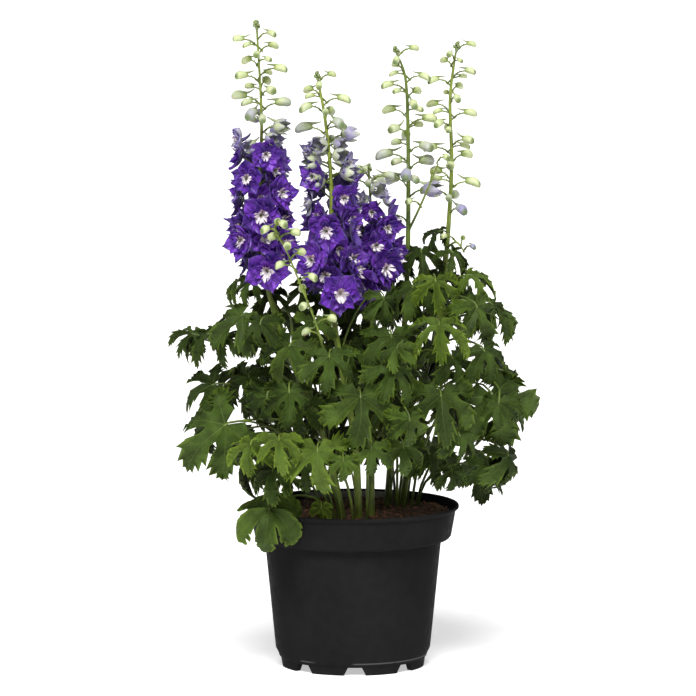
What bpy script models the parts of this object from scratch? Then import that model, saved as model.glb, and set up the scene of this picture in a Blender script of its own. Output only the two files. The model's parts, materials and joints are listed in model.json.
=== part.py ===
# A delphinium in its nursery pot: flower spikes in bloom, green spikes still in bud and a mound of
# cut leaves, on a black plastic pot filled with peat.
# Metres, +Z up. The origin is the middle of the pot's foot. -Y is the front and +X the right.

import math
import random

import bmesh
import bpy
from mathutils import Matrix, Vector
from mathutils.bvhtree import BVHTree

MM = 0.001

# Pot
POT_HEIGHT = 176 * MM
RIM_RADIUS = 115 * MM
RIM_EDGE = 2.6 * MM
COLLAR_TOP_RADIUS = 111.5 * MM
COLLAR_FOOT_RADIUS = 106.7 * MM
COLLAR_FOOT = 141.5 * MM
BODY_TOP_RADIUS = 95.8 * MM
BODY_FOOT_RADIUS = 84 * MM
BODY_FOOT = 20 * MM
FOOT_RADIUS = 78.5 * MM
FOOT_INNER_RADIUS = 71 * MM
FOOT_HEIGHT = 9 * MM
POT_WALL = 1.8 * MM
POT_FLOOR = 2 * MM
POT_SIDES = 24
NOTCH_COUNT = 8
NOTCH_TOP_WIDTH = 15 * MM
NOTCH_FOOT_WIDTH = 25 * MM
NOTCH_TURN = math.radians(1.5)
DRAIN_COUNT = 4
DRAIN_RADIUS = 6 * MM
DRAIN_PLACE = 55 * MM

# Peat
SOIL_TOP = 167 * MM
SOIL_BUMP = 1.5 * MM
GAP = 0.3 * MM
ROOT_FOOT = 150 * MM
ROOT_TOP = 171 * MM

# Leaves and stems
LEAF_SCALE = 1.2
BLADE = 0.9 * MM
HEEL = 2.8 * MM
HEEL_TURN = 161
HEEL_REACH = 4.5 * MM
LONG_STALK = 60 * MM
STALK = 1.5 * MM
CLEAR = 0.9 * MM
LOBE_AXES = (-112, -55, 0, 55, 112)
LOBE_LENGTHS = (0.68, 0.92, 1.0, 0.92, 0.68)
LOBE_EDGES = (-152, -83, -27.5, 27.5, 83, 152)
GUTTER = 0.07
GRADE_LENGTHS = (37, 47)
SMALL_LEAF = 32
THIN_STALK = 0.72
LEAF_TRIES = 140
OTHER_NODE = 20
GOLDEN_TURN = math.radians(137.5)
FLORET_TURN = math.radians(144)

# Florets and buds
PETALS = 5
PETAL = 1.0 * MM
PETAL_EDGE = ((-0.5, 0.76), (-0.24, 1.0), (0.24, 1.0))
INNER_PETALS = 3
SPUR_SIDES = 3
INNER_EDGE = ((-0.5, 0.3), (0, 0.6))
BUD_LENGTH = 13 * MM
BUD_RADIUS = 4 * MM
BUD_SIDES = 4
TOP_BUD = 0.78
SHOOT_BUD = 0.62
SHOOT_STEPS = 6
BUD_TRIES = 12
BUD_STEP = math.radians(9)
BUD_ROOM = 1.15

# Each stem runs through these points, in millimetres, from the peat up, with its foot and tip radius.
STEMS = {
    "left": ([(-12, -38), (-30, -45, 250), (-66, -50, 340), (-92, -50, 420), (-100, -48, 520),
              (-98, -45, 600), (-103, -42, 697)], 4.2, 1.1),
    "front": ([(6, -44), (2, -50, 250), (-12, -55, 330), (-22, -55, 400), (-23, -52, 480),
               (-24, -50, 540), (-30, -48, 600), (-38, -46, 643)], 4.4, 1.3),
    "middle": ([(20, -26), (20, -15, 250), (20, -3, 340), (21, 6, 420), (20, 8, 480), (17, 8, 538)],
               3.8, 1.2),
    "right": ([(38, 46), (44, 44, 250), (54, 38, 340), (59, 34, 430), (60, 30, 520), (59, 28, 600),
               (56, 27, 640), (47, 26, 664)], 4.2, 1.0),
    "far_right": ([(54, 56), (66, 55, 240), (86, 50, 330), (99, 44, 420), (104, 40, 480),
                   (107, 38, 545), (105, 36, 610), (109, 35, 650), (112, 34, 668)], 4.0, 1.0),
}
# Side shoots: the stem they leave, and their points.
SHOOTS = {
    "front": [[(1, -51, 262), (-20, -84, 322), (-31, -104, 356), (-40, -108, 388), (-56, -108, 428),
               (-70, -106, 462), (-84, -102, 486)]],
    "right": [[(60, 32, 470), (70, 22, 492), (80, 14, 516), (92, 8, 546)]],
    "far_right": [[(101, 42, 450), (112, 30, 458), (121, 22, 448)]],
}
# Flower spikes: lowest and highest floret, how many, the first one's turn in degrees from the front,
# how far they stand from the stem, and the heights between which the front is bare.
FLORETS = {
    "left": (437, 562, 15, 45, 23.3, None),
    "front": (414, 538, 16, 9, 22.8, (480, 545)),
    "middle": (412, 496, 10, 18, 22.3, None),
}
# Buds: lowest and highest, how many, first turn, and the lowest one's size against the others'.
BUDS = {
    "left": (583, 692, 15, 60, 1.3),
    "front": (556, 638, 11, 200, 1.5),
    "middle": (510, 534, 6, 20, 1.3),
    "right": (506, 660, 17, 80, 1.45),
    "far_right": (486, 664, 20, 30, 1.2),
}
SHOOT_BUDS = {"front": 8, "right": 3, "far_right": 3}

# Leaves: blade's stalk end in millimetres, length of the middle lobe, the way that lobe heads in
# degrees (0 front, 90 right), how steeply it dips, how far the blade is turned to face the front,
# how deeply it is cut, and where its stalk leaves the stem or, for a basal leaf, the peat.
STEM_LEAVES = {
    "left": [
        (-156, -34, 366, 44, -88, 8, 20, 0.9, 305),
        (-119, -62, 390, 50, -62, 25, 30, 0.4, 325),
        (-122, -14, 424, 32, -75, 35, 0, 0.8, 366),
        (-86, -88, 392, 36, -20, 70, 0, 0.5, 352),
        (-68, -100, 361, 48, -50, 45, 30, 0.5, 285),
        (-84, -120, 326, 40, 15, 55, 0, 0.6, 245),
        (-104, -104, 320, 44, -15, 68, 0, 0.6, 262),
        (-150, -48, 326, 42, -85, 25, 50, 0.5, 268),
        (-118, 38, 318, 50, -122, 38, -20, 0.5, 276),
        (-78, 60, 372, 44, -155, 42, 0, 0.6, 336),
        (-134, 18, 250, 48, -108, 48, 0, 0.5, 226),
        (-40, 26, 340, 40, 160, 30, 0, 0.5, 290),
        (-92, 88, 296, 50, -145, 45, 0, 0.5, 240),
        (-56, -84, 296, 37, -10, 52, 0, 0.5, 236),
    ],
    "front": [
        (-29, -128, 354, 46, -5, 52, 0, 0.6, 290),
        (8, -142, 313, 58, 6, 58, 0, 0.5, 232),
        (-46, -92, 388, 32, 5, 60, 0, 0.5, 338),
        (20, -72, 392, 30, 10, 65, 0, 0.5, 340),
    ],
    "middle": [
        (41, -92, 371, 46, 5, 48, 0, 0.5, 300),
        (46, -112, 337, 46, 48, 35, 20, 0.6, 250),
        (36, -44, 404, 26, 15, 60, 0, 0.6, 350),
        (4, 92, 318, 52, -178, 40, 0, 0.5, 262),
        (-14, 126, 268, 50, -172, 50, 0, 0.5, 222),
        (-48, 84, 345, 48, -148, 35, 0, 0.6, 290),
        (14, 40, 384, 42, 175, 35, 0, 0.5, 330),
        (-6, -22, 352, 40, -5, 48, 0, 0.5, 300),
        (38, -128, 350, 27, -10, 62, 0, 0.6, 285),
    ],
    "right": [
        (94, -112, 310, 55, 10, 52, 0, 0.5, 225),
        (92, -100, 385, 50, 5, 38, 0, 0.9, 305),
        (63, -137, 282, 36, 8, 55, 0, 0.6, 205),
        (62, -6, 416, 40, -12, 42, 0, 0.6, 372),
        (106, -80, 342, 42, 40, 45, 0, 0.6, 268),
        (60, 126, 318, 52, 168, 45, 0, 0.5, 250),
        (96, 104, 380, 50, 150, 38, 0, 0.7, 320),
        (22, 112, 382, 44, -172, 42, 0, 0.6, 335),
        (40, -62, 290, 37, 0, 50, 0, 0.5, 232),
    ],
    "far_right": [
        (84, -42, 420, 42, 12, 42, 0, 0.9, 372),
        (128, -2, 426, 42, 85, 8, 20, 0.9, 392),
        (122, -22, 400, 46, 80, 20, 30, 0.6, 350),
        (133, -54, 392, 46, 60, 52, 20, 0.6, 322),
        (154, 10, 386, 45, 95, 18, 15, 0.95, 340),
        (140, -66, 353, 42, 55, 45, 25, 0.6, 290),
        (164, -10, 320, 46, 90, 48, 20, 0.7, 262),
        (148, -86, 290, 34, -20, 60, 0, 0.5, 240),
        (148, 72, 328, 50, 125, 38, 0, 0.5, 280),
        (122, 96, 262, 50, 142, 48, 0, 0.5, 222),
    ],
}
BASAL_LEAVES = [
    (-137, -92, 275, 66, -72, 30, 60, 0.4, (-26, -28)),
    (-109, -122, 259, 38, -25, 45, 0, 0.5, (-20, -52)),
    (-71, -140, 272, 38, 5, 50, 0, 0.6, (-12, -60)),
    (-38, -144, 255, 52, 0, 58, 0, 0.5, (0, -64)),
    (-8, -146, 258, 26, 10, 62, 0, 0.6, (4, -54)),
    (18, -142, 256, 34, 5, 64, 0, 0.5, (15, -60)),
    (-80, -90, 193, 50, -10, 46, 0, 0.2, (-28, -46)),
    (-114, -40, 232, 46, -70, 66, 0, 0.5, (-34, -22)),
    (-34, -86, 185, 16, -5, 60, 0, 0.2, (-30, -68)),
    (150, -68, 303, 63, 66, 64, 50, 0.3, (64, 36)),
    (168, -44, 236, 48, 60, 72, 0, 0.5, (70, 46)),
    (128, 24, 224, 48, 95, 28, -50, 0.2, (72, 58)),
    (50, -124, 253, 34, 15, 60, 0, 0.2, (48, 28)),
    (114, -104, 266, 34, 30, 55, 0, 0.4, (56, 26)),
    (-66, 112, 238, 52, -155, 48, 0, 0.5, (-14, -8)),
    (34, 140, 248, 52, 176, 46, 0, 0.5, (46, 68)),
    (86, 124, 224, 48, 150, 50, 0, 0.5, (60, 72)),
    (82, -62, 240, 36, 30, 48, 0, 0.5, (50, 36)),
    (-86, -104, 228, 36, -10, 50, 0, 0.4, (-24, -50)),
    (-50, -100, 232, 32, -8, 50, 0, 0.5, (-16, -46)),
]

COLOURS = {
    "pot": ((0.018, 0.018, 0.019), 0.42),
    "peat": ((0.055, 0.026, 0.016), 0.95),
    "foliage": ((0.07, 0.15, 0.03), 0.55),
    "petals": ((0.11, 0.02, 0.36), 0.5),
}


def clear_scene():
    for obj in list(bpy.data.objects):
        bpy.data.objects.remove(obj, do_unlink=True)


def finish_of(name):
    material = bpy.data.materials.get(name)
    if material:
        return material
    colour, roughness = COLOURS[name]
    material = bpy.data.materials.new(name)
    material.use_nodes = True
    shader = material.node_tree.nodes["Principled BSDF"]
    shader.inputs["Base Color"].default_value = (*colour, 1)
    shader.inputs["Roughness"].default_value = roughness
    material.diffuse_color = (*colour, 1)
    return material


def object_of(name, mesh, finish):
    mesh.materials.clear()
    mesh.materials.append(finish_of(finish))
    obj = bpy.data.objects.new(name, mesh)
    bpy.context.scene.collection.objects.link(obj)
    return obj


def mesh_of(points, faces):
    """A mesh with its faces turned outwards."""
    shape = bmesh.new()
    corners = [shape.verts.new(p) for p in points]
    for face in faces:
        shape.faces.new([corners[i] for i in face])
    bmesh.ops.recalc_face_normals(shape, faces=shape.faces)
    mesh = bpy.data.meshes.new("shape")
    shape.to_mesh(mesh)
    shape.free()
    return mesh


# Turned shapes


def turned(profile, sides):
    """A closed solid turned about Z from an outline that starts and ends on the axis."""
    shape = bmesh.new()
    corners = [shape.verts.new((r, 0, z)) for r, z in profile]
    edges = [shape.edges.new(pair) for pair in zip(corners, corners[1:])]
    bmesh.ops.spin(
        shape, geom=corners + edges, axis=(0, 0, 1), cent=(0, 0, 0),
        angle=2 * math.pi, steps=sides, use_merge=True,
    )
    bmesh.ops.remove_doubles(shape, verts=shape.verts, dist=1e-6)
    bmesh.ops.recalc_face_normals(shape, faces=shape.faces)
    mesh = bpy.data.meshes.new("turned")
    shape.to_mesh(mesh)
    shape.free()
    return mesh


def pot_outline():
    outer = [
        (FOOT_RADIUS - MM, 0),
        (FOOT_RADIUS, FOOT_HEIGHT),
        (BODY_FOOT_RADIUS, BODY_FOOT),
        (BODY_TOP_RADIUS, COLLAR_FOOT - 4 * MM),
        (COLLAR_FOOT_RADIUS, COLLAR_FOOT),
        (COLLAR_TOP_RADIUS, POT_HEIGHT - 3 * RIM_EDGE),
        (RIM_RADIUS, POT_HEIGHT - RIM_EDGE),
        (RIM_RADIUS - 0.6 * MM, POT_HEIGHT),
    ]
    inner = [
        (RIM_RADIUS - RIM_EDGE - MM, POT_HEIGHT),
        (COLLAR_TOP_RADIUS - POT_WALL - MM, POT_HEIGHT - 3 * RIM_EDGE),
        (COLLAR_FOOT_RADIUS - POT_WALL, COLLAR_FOOT + POT_WALL),
        (BODY_TOP_RADIUS - POT_WALL, COLLAR_FOOT - 4 * MM),
        (FOOT_RADIUS - POT_WALL, FOOT_HEIGHT + POT_FLOOR),
        (0, FOOT_HEIGHT + POT_FLOOR),
    ]
    under = [(0, FOOT_HEIGHT), (FOOT_INNER_RADIUS, FOOT_HEIGHT), (FOOT_INNER_RADIUS, 0)]
    return under + outer + inner


def notch_cutter():
    """A wedge, wider at the surface the pot stands on, that cuts one way out under the foot."""
    low, high = -MM, FOOT_HEIGHT - 0.2 * MM
    near, far = FOOT_INNER_RADIUS - 3 * MM, FOOT_RADIUS + 3 * MM
    wide, narrow = NOTCH_FOOT_WIDTH / 2, NOTCH_TOP_WIDTH / 2
    ends = ((low, wide), (high, narrow))
    points = [(x, side * w, z) for x in (near, far) for z, w in ends for side in (-1, 1)]
    faces = [(0, 1, 3, 2), (4, 6, 7, 5), (0, 4, 5, 1), (2, 3, 7, 6), (0, 2, 6, 4), (1, 5, 7, 3)]
    return mesh_of(points, faces)


def drain_cutter():
    shape = bmesh.new()
    bmesh.ops.create_cone(
        shape, cap_ends=True, segments=6, radius1=DRAIN_RADIUS, radius2=DRAIN_RADIUS, depth=4 * POT_FLOOR,
    )
    bmesh.ops.translate(shape, verts=shape.verts, vec=(DRAIN_PLACE, 0, FOOT_HEIGHT + POT_FLOOR / 2))
    mesh = bpy.data.meshes.new("drain")
    shape.to_mesh(mesh)
    shape.free()
    return mesh


def boolean(base, others, operation):
    """The base mesh joined with, or cut by, all the others at once."""
    group = bpy.data.collections.new("pieces")
    bpy.context.scene.collection.children.link(group)
    for mesh in others:
        group.objects.link(bpy.data.objects.new("piece", mesh))
    body = bpy.data.objects.new("body", base)
    bpy.context.scene.collection.objects.link(body)
    cut = body.modifiers.new("joined", "BOOLEAN")
    cut.operand_type = "COLLECTION"
    cut.collection = group
    cut.operation = operation
    cut.solver = "EXACT"
    bpy.context.view_layer.update()
    graph = bpy.context.evaluated_depsgraph_get()
    made = bpy.data.meshes.new_from_object(body.evaluated_get(graph))
    for obj in [body, *group.objects]:
        bpy.data.objects.remove(obj)
    bpy.data.collections.remove(group)
    return made


def volume_of(faces):
    total = 0.0
    for face in faces:
        first, *rest = [v.co for v in face.verts]
        total += sum(first.dot(a.cross(b)) for a, b in zip(rest, rest[1:]))
    return total / 6


def largest_body(mesh):
    """Keeps the body that the joined pieces make, and drops scraps and the walls of sealed hollows."""
    shape = bmesh.new()
    shape.from_mesh(mesh)
    bmesh.ops.triangulate(shape, faces=shape.faces)
    bmesh.ops.dissolve_degenerate(shape, edges=shape.edges, dist=1e-6)
    left, bodies = set(shape.faces), []
    while left:
        found, edge = set(), [left.pop()]
        while edge:
            face = edge.pop()
            found.add(face)
            for side in face.edges:
                near = [f for f in side.link_faces if f in left]
                left.difference_update(near)
                edge.extend(near)
        bodies.append(found)
    bodies.sort(key=volume_of)
    lost = [f for body in bodies[:-1] for f in body]
    bmesh.ops.delete(shape, geom=lost, context="FACES")
    shape.to_mesh(mesh)
    shape.free()


def make_pot():
    cutters = []
    for make, count in ((notch_cutter, NOTCH_COUNT), (drain_cutter, DRAIN_COUNT)):
        for i in range(count):
            cutter = make()
            cutter.transform(Matrix.Rotation(NOTCH_TURN + 2 * math.pi * i / count - math.pi / 2, 4, "Z"))
            cutters.append(cutter)
    return boolean(turned(pot_outline(), POT_SIDES), cutters, "DIFFERENCE")


def make_soil(roots):
    """The peat fills the pot to just under its collar, and has a plain hole for each stem and stalk."""
    inset = POT_WALL + 1.5 * GAP
    profile = [
        (0, FOOT_HEIGHT + POT_FLOOR + GAP),
        (FOOT_RADIUS - inset, FOOT_HEIGHT + POT_FLOOR + GAP),
        (BODY_TOP_RADIUS - inset, COLLAR_FOOT - 4 * MM),
        (COLLAR_FOOT_RADIUS - inset - GAP, COLLAR_FOOT + POT_WALL + MM),
        (COLLAR_TOP_RADIUS - inset - 2.4 * MM, SOIL_TOP),
        (62 * MM, SOIL_TOP),
        (0, SOIL_TOP),
    ]
    mesh = turned(profile, POT_SIDES)
    for v in mesh.vertices:
        if v.co.z > SOIL_TOP - MM:
            v.co.z += SOIL_BUMP * math.sin(v.co.x / (11 * MM)) * math.cos(v.co.y / (9 * MM))
    cutters = []
    for x, y, radius in roots:
        sides = 6 if radius < STALK * 2 else 8
        hole = (radius + GAP) / math.cos(math.pi / sides)
        shape = bmesh.new()
        bmesh.ops.create_cone(
            shape, cap_ends=True, segments=sides, radius1=hole, radius2=hole, depth=60 * MM,
        )
        bmesh.ops.translate(shape, verts=shape.verts, vec=(x, y, ROOT_FOOT - GAP + 30 * MM))
        cutter = bpy.data.meshes.new("root")
        shape.to_mesh(cutter)
        shape.free()
        cutters.append(cutter)
    return boolean(mesh, cutters, "DIFFERENCE")


# Stems, stalks and buds


def smooth_path(points, steps):
    """Evenly numbered points on a smooth curve that passes through those given."""
    ends = [2 * points[0] - points[1], *points, 2 * points[-1] - points[-2]]
    spans = len(points) - 1
    found = []
    for i in range(steps + 1):
        at = spans * i / steps
        k = min(int(at), spans - 1)
        t = at - k
        a, b, c, d = ends[k:k + 4]
        square, cube = 2 * a - 5 * b + 4 * c - d, 3 * b - a - 3 * c + d
        found.append(0.5 * (2 * b + (c - a) * t + square * t * t + cube * t ** 3))
    return found


def tube(path, radii, sides):
    """A closed tube along a path, with the radius given at each of its points."""
    points, faces = [], []
    along = (path[1] - path[0]).normalized()
    across = along.orthogonal().normalized()
    for i, centre in enumerate(path):
        nearby = path[min(i + 1, len(path) - 1)] - path[max(i - 1, 0)]
        along = nearby.normalized()
        across = (across - along * across.dot(along)).normalized()
        other = along.cross(across)
        for k in range(sides):
            turn = 2 * math.pi * k / sides
            points.append(centre + radii[i] * (across * math.cos(turn) + other * math.sin(turn)))
    for i in range(len(path) - 1):
        for k in range(sides):
            a, b = i * sides + k, i * sides + (k + 1) % sides
            faces.append((a, b, b + sides, a + sides))
    faces.append(tuple(range(sides - 1, -1, -1)))
    faces.append(tuple(range(len(points) - sides, len(points))))
    return points, faces


def stem_path(name, steps=11):
    points = STEMS[name][0]
    x, y = (value * MM for value in points[0])
    route = [Vector((x, y, ROOT_TOP))] + [Vector(p) * MM for p in points[1:]]
    return [Vector((x, y, ROOT_FOOT))] + smooth_path(route, steps)


def place_on(path, height):
    """The point of a rising path at this height, and the way it runs there."""
    for low, high in zip(path, path[1:]):
        if low.z <= height <= high.z:
            share = (height - low.z) / (high.z - low.z)
            return low.lerp(high, share), (high - low).normalized()
    return path[-1].copy(), (path[-1] - path[-2]).normalized()


def tapering(path, foot, tip):
    return [(foot + (tip - foot) * (i / (len(path) - 1))) * MM for i in range(len(path))]


def bud(centre, away, size):
    """A closed bud on its slender stalk. One face of its back is drawn out into the spur."""
    length, radius = BUD_LENGTH * size, BUD_RADIUS * size
    up = Vector((0, 0, 1))
    level = (away - up * away.dot(up)).normalized()
    side = level.cross(up)
    reach = 15 * MM * (0.7 + 0.3 * size)
    neck = centre + level * reach + up * 0.62 * reach
    belly = neck + level * 0.5 * length
    sections = ((centre, 0.9 * MM, 0.6), (neck, 1.3 * MM * size, 0.3), (belly, radius, 0))
    points, faces = [], []
    for middle, r, rise in sections:
        top = (up - level * rise).normalized()
        for k in range(BUD_SIDES):
            turn = 2 * math.pi * (k + 0.5) / BUD_SIDES
            points.append(middle + r * (top * math.cos(turn) + side * math.sin(turn)))
    spur, tip = len(points), len(points) + 1
    points += [neck - level * 0.4 * length + up * 0.55 * length, neck + level * 1.05 * length]
    for i in range(len(sections) - 1):
        for k in range(BUD_SIDES):
            a, b = i * BUD_SIDES + k, i * BUD_SIDES + (k + 1) % BUD_SIDES
            ring = (a, b, b + BUD_SIDES, a + BUD_SIDES)
            if i == 1 and k == BUD_SIDES - 1:
                faces += [(ring[n], ring[(n + 1) % 4], spur) for n in range(4)]
            else:
                faces.append(ring)
    last = spur - BUD_SIDES
    faces += [(last + k, last + (k + 1) % BUD_SIDES, tip) for k in range(BUD_SIDES)]
    faces.append(tuple(range(BUD_SIDES)))
    return points, faces


def clear_bud(centre, turn, size, node, room):
    """A bud that heads this way, or as near to it as leaves it clear of the other nodes."""
    for n in range(2 * BUD_TRIES):
        tried = turn + BUD_STEP * ((n + 1) // 2) * (-1) ** n
        away = Vector((math.sin(tried), -math.cos(tried), 0))
        grown = tree_of([bud(centre, away, size * BUD_ROOM)])
        if not any(grown.overlap(tree) for owner, _, tree in room if owner != node):
            break
    return bud(centre, away, size)


def spike_buds(name, path, node, room):
    low, high, count, first, lowest_size = BUDS[name]
    pieces = []
    for k in range(count):
        share = k / (count - 1)
        centre, _ = place_on(path, (low + (high - low) * share) * MM)
        size = lowest_size + (TOP_BUD - lowest_size) * share
        pieces.append(clear_bud(centre, math.radians(first) + GOLDEN_TURN * k, size, node, room))
    tip, along = path[-1], (path[-1] - path[-2]).normalized()
    crown = [tip + along * rise * MM for rise in (-2, 4, 11)]
    pieces.append(tube(crown, [1.2 * MM, 2.6 * MM, MM], BUD_SIDES + 1))
    return pieces


def shoot_paths(name):
    return [smooth_path([Vector(p) * MM for p in points], SHOOT_STEPS) for points in SHOOTS.get(name, [])]


def shoot_buds(name, node, room):
    pieces = []
    for path in shoot_paths(name):
        count = SHOOT_BUDS[name]
        for k in range(count):
            along = SHOOT_STEPS * (1 - 0.58 * k / max(count - 1, 1))
            low = min(int(along), SHOOT_STEPS - 1)
            at = path[low].lerp(path[low + 1], along - low)
            pieces.append(clear_bud(at, GOLDEN_TURN * k + 0.6, SHOOT_BUD, node, room))
    return pieces


# Leaves


def blade_outline(cut, grade):
    """The cut edge as (degrees, reach), and the middle of each large lobe.

    Grade 0 has the lobes alone, 1 has shoulders on them too, and 2 has a second tooth and a sunk midrib.
    """
    shoulder, shoulder_reach = 0.84 - 0.12 * cut, 0.68
    tooth, tooth_reach = 0.5 - 0.1 * cut, 0.7 - 0.06 * cut
    edge, ribs = [(LOBE_EDGES[0], 0.3)], []
    for i, (axis, length) in enumerate(zip(LOBE_AXES, LOBE_LENGTHS)):
        low, high = LOBE_EDGES[i] - axis, LOBE_EDGES[i + 1] - axis
        if grade > 0 and i < 4:
            edge.append((axis + low * shoulder, shoulder_reach * length))
        if grade > 1 and i in (1, 2):
            edge.append((axis + low * tooth, tooth_reach * length))
        edge.append((axis, length))
        if grade > 1 and i in (2, 3):
            edge.append((axis + high * tooth, tooth_reach * length))
        if grade > 1 and 0 < i < 4:
            ribs.append((axis, 0.55 * length))
        if grade > 0 and i > 0:
            edge.append((axis + high * shoulder, shoulder_reach * length))
        if i < 4:
            edge.append((LOBE_EDGES[i + 1], (0.56 - 0.26 * cut) * min(length, LOBE_LENGTHS[i + 1])))
    edge.append((LOBE_EDGES[-1], 0.3))
    return edge, ribs


def leaf_frame(heading, dip, face):
    """Unit vectors of a blade: along its middle lobe, across it, and out of its upper side."""
    turn, pitch, lean = (math.radians(v) for v in (heading, dip, face))
    along = Vector((math.sin(turn) * math.cos(pitch), -math.cos(turn) * math.cos(pitch), -math.sin(pitch)))
    up = Vector((0, -math.sin(lean), math.cos(lean)))
    up = (up - along * up.dot(along)).normalized()
    return along, along.cross(up), up


def on_blade(base, frame, size, droop, degrees, reach, lift, gutter=0.0):
    """A point of the blade, which arches down from its stalk like an open umbrella."""
    along, across, up = frame
    angle, bend = math.radians(degrees), droop * reach
    outward = along * math.cos(angle) + across * math.sin(angle)
    over = up * math.cos(bend) + outward * math.sin(bend)
    flat, drop = math.sin(bend) / droop, (1 - math.cos(bend)) / droop
    return base + size * (outward * flat - up * drop) + over * (lift - gutter * size)


def stalk_path(start, base, frame):
    """A stalk rises from its start, swings out and comes into the blade's heel from behind and below."""
    along, _, up = frame
    heel = base - along * HEEL_REACH
    span = (heel - start).length
    leave = start + Vector((0, 0, 0.42 * span)) + (heel - start) * 0.12
    meet = heel - (along + up * 0.75).normalized() * 0.3 * span
    steps = 3 if span > LONG_STALK else 2
    found = []
    for i in range(steps + 1):
        t = i / steps
        ends, middle = start * (1 - t) ** 3 + heel * t ** 3, leave * (1 - t) + meet * t
        found.append(ends + middle * 3 * t * (1 - t))
    return found + [base]


def stalk_radius(length, share):
    """The stalk's radius at this share of its way, for a blade of this length."""
    thin = THIN_STALK if length < SMALL_LEAF else 1.0
    return STALK * thin * (1.15 - 0.35 * share)


def leaf(row, start, rooted, fat=0.0):
    """One leaf as one solid, blade and stalk. It is thicker all over by fat where it only tests for room."""
    x, y, z, length, heading, dip, face, cut = row
    base, size = Vector((x, y, z)) * MM, length * LEAF_SCALE * MM
    frame = leaf_frame(heading, dip, face)
    droop, half = 1.0 + 0.25 * cut, BLADE / 2 + fat
    edge, ribs = blade_outline(cut, sum(length > limit for limit in GRADE_LENGTHS))
    ring = edge + [(HEEL_TURN, HEEL / size), (-HEEL_TURN, HEEL / size)]
    keys = [(0, 0, 0)] + [(d, r, 0) for d, r in ring] + [(d, r, GUTTER) for d, r in ribs]
    last = len(ring)

    def below(i):
        """The number of the point under this one. The two points of the heel share theirs."""
        return len(keys) + (i if i < last else i - 1)

    points = [on_blade(base, frame, size, droop, d, r, half, g) for d, r, g in keys]
    keys[last - 1:last + 1] = [(180, HEEL / size, 0)]
    points += [on_blade(base, frame, size, droop, d, r, -half, g) for d, r, g in keys]
    keys.insert(last, keys[last - 1])
    upper = []
    for i in range(1, last + 1):
        middle = (ring[i - 1][0] + ring[i % last][0]) / 2
        lobe = [k for k in range(1, 4) if i < last - 2 and LOBE_EDGES[k] < middle < LOBE_EDGES[k + 1]]
        upper.append((last + lobe[0] if lobe and ribs else 0, i, i % last + 1))
    for k in range(1, 1 + len(ribs)):
        low, high = (1 + [d for d, _ in ring].index(LOBE_EDGES[k + n]) for n in (0, 1))
        upper += [(0, low, last + k), (0, last + k, high)]
    lower = [tuple(below(i) for i in reversed(f)) for f in upper]
    faces = upper + [f for f in lower if len(set(f)) == 3]
    for i in range(1, last + 1):
        j = i % last + 1
        if i != last - 1:
            faces += [(i, j, below(j)), (i, below(j), below(i))]
    path = stalk_path(start, base, frame)
    if rooted:
        path = [Vector((start.x, start.y, ROOT_FOOT))] + path
    mouth = (last - 1, last, below(last))
    across, top = frame[1], frame[2]
    for i in range(len(path) - 2, -1, -1):
        way = (path[i + 1] - path[max(i - 1, 0)]).normalized()
        across = (across - way * across.dot(way)).normalized()
        top = (top - way * top.dot(way) - across * top.dot(across)).normalized()
        r = stalk_radius(length, i / len(path)) + fat
        corners = tuple(range(len(points), len(points) + 3))
        points += [path[i] + r * (across * a + top * b) for a, b in ((0.87, 0.5), (-0.87, 0.5), (0, -1))]
        faces += [(mouth[n], mouth[(n + 1) % 3], corners[(n + 1) % 3], corners[n]) for n in range(3)]
        mouth = corners
    faces.append(mouth)
    return points, faces


def tree_of(pieces):
    points, faces = [], []
    for more, sides in pieces:
        faces += [tuple(i + len(points) for i in side) for side in sides]
        points += more
    return BVHTree.FromPolygons(points, faces)


def tree_of_mesh(mesh):
    points = [v.co.copy() for v in mesh.vertices]
    return BVHTree.FromPolygons(points, [tuple(face.vertices) for face in mesh.polygons])


def settle(row, start, node, room):
    """Moves a leaf a little at a time, and further at each try, till it crosses nothing.

    Another node weighs more than a leaf of its own stem, with which it would only be fused.
    """
    draw = random.Random(str(row))
    best, least = row, None
    for n in range(LEAF_TRIES):
        step = 0.0 if n == 0 else 1.5 + 0.13 * n
        moves = [draw.uniform(-step, step) for _ in range(5)]
        tried = (
            row[0] + moves[0], row[1] + moves[1], row[2] + moves[2], row[3],
            row[4] + moves[3], row[5] + moves[4], row[6], row[7],
        )
        fat, real = (leaf(tried, start, False, thicker) for thicker in (CLEAR, 0))
        whole, own, faces = tree_of([fat]), tree_of([real]), real[1]
        crossed = sum(not set(faces[a]) & set(faces[b]) for a, b in own.overlap(own))
        crossed += sum(len(whole.overlap(tree)) for owner, _, tree in room if owner != node)
        crossed *= OTHER_NODE
        fused = [tree for owner, kind, tree in room if owner == node and kind == "leaf"]
        crossed += sum(len(own.overlap(tree)) for tree in fused)
        if least is None or crossed < least:
            best, least = tried, crossed
        if not crossed:
            break
    if least >= OTHER_NODE:
        print(f"{node}: leaf at {row[:3]} still meets {least // OTHER_NODE}")
    return best


# Flowers


def zipped(first, second):
    """Triangles between two closed loops of (number, turn in degrees), both in rising turn."""
    faces = []
    a = b = 0
    while a < len(first) or b < len(second):
        turn_a = first[a % len(first)][1] + 360 * (a // len(first))
        turn_b = second[b % len(second)][1] + 360 * (b // len(second))
        low, high = first[a % len(first)][0], second[b % len(second)][0]
        if b == len(second) or (a < len(first) and turn_a <= turn_b):
            a += 1
            faces.append((low, first[a % len(first)][0], high))
        else:
            b += 1
            faces.append((low, second[b % len(second)][0], high))
    return faces


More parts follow.
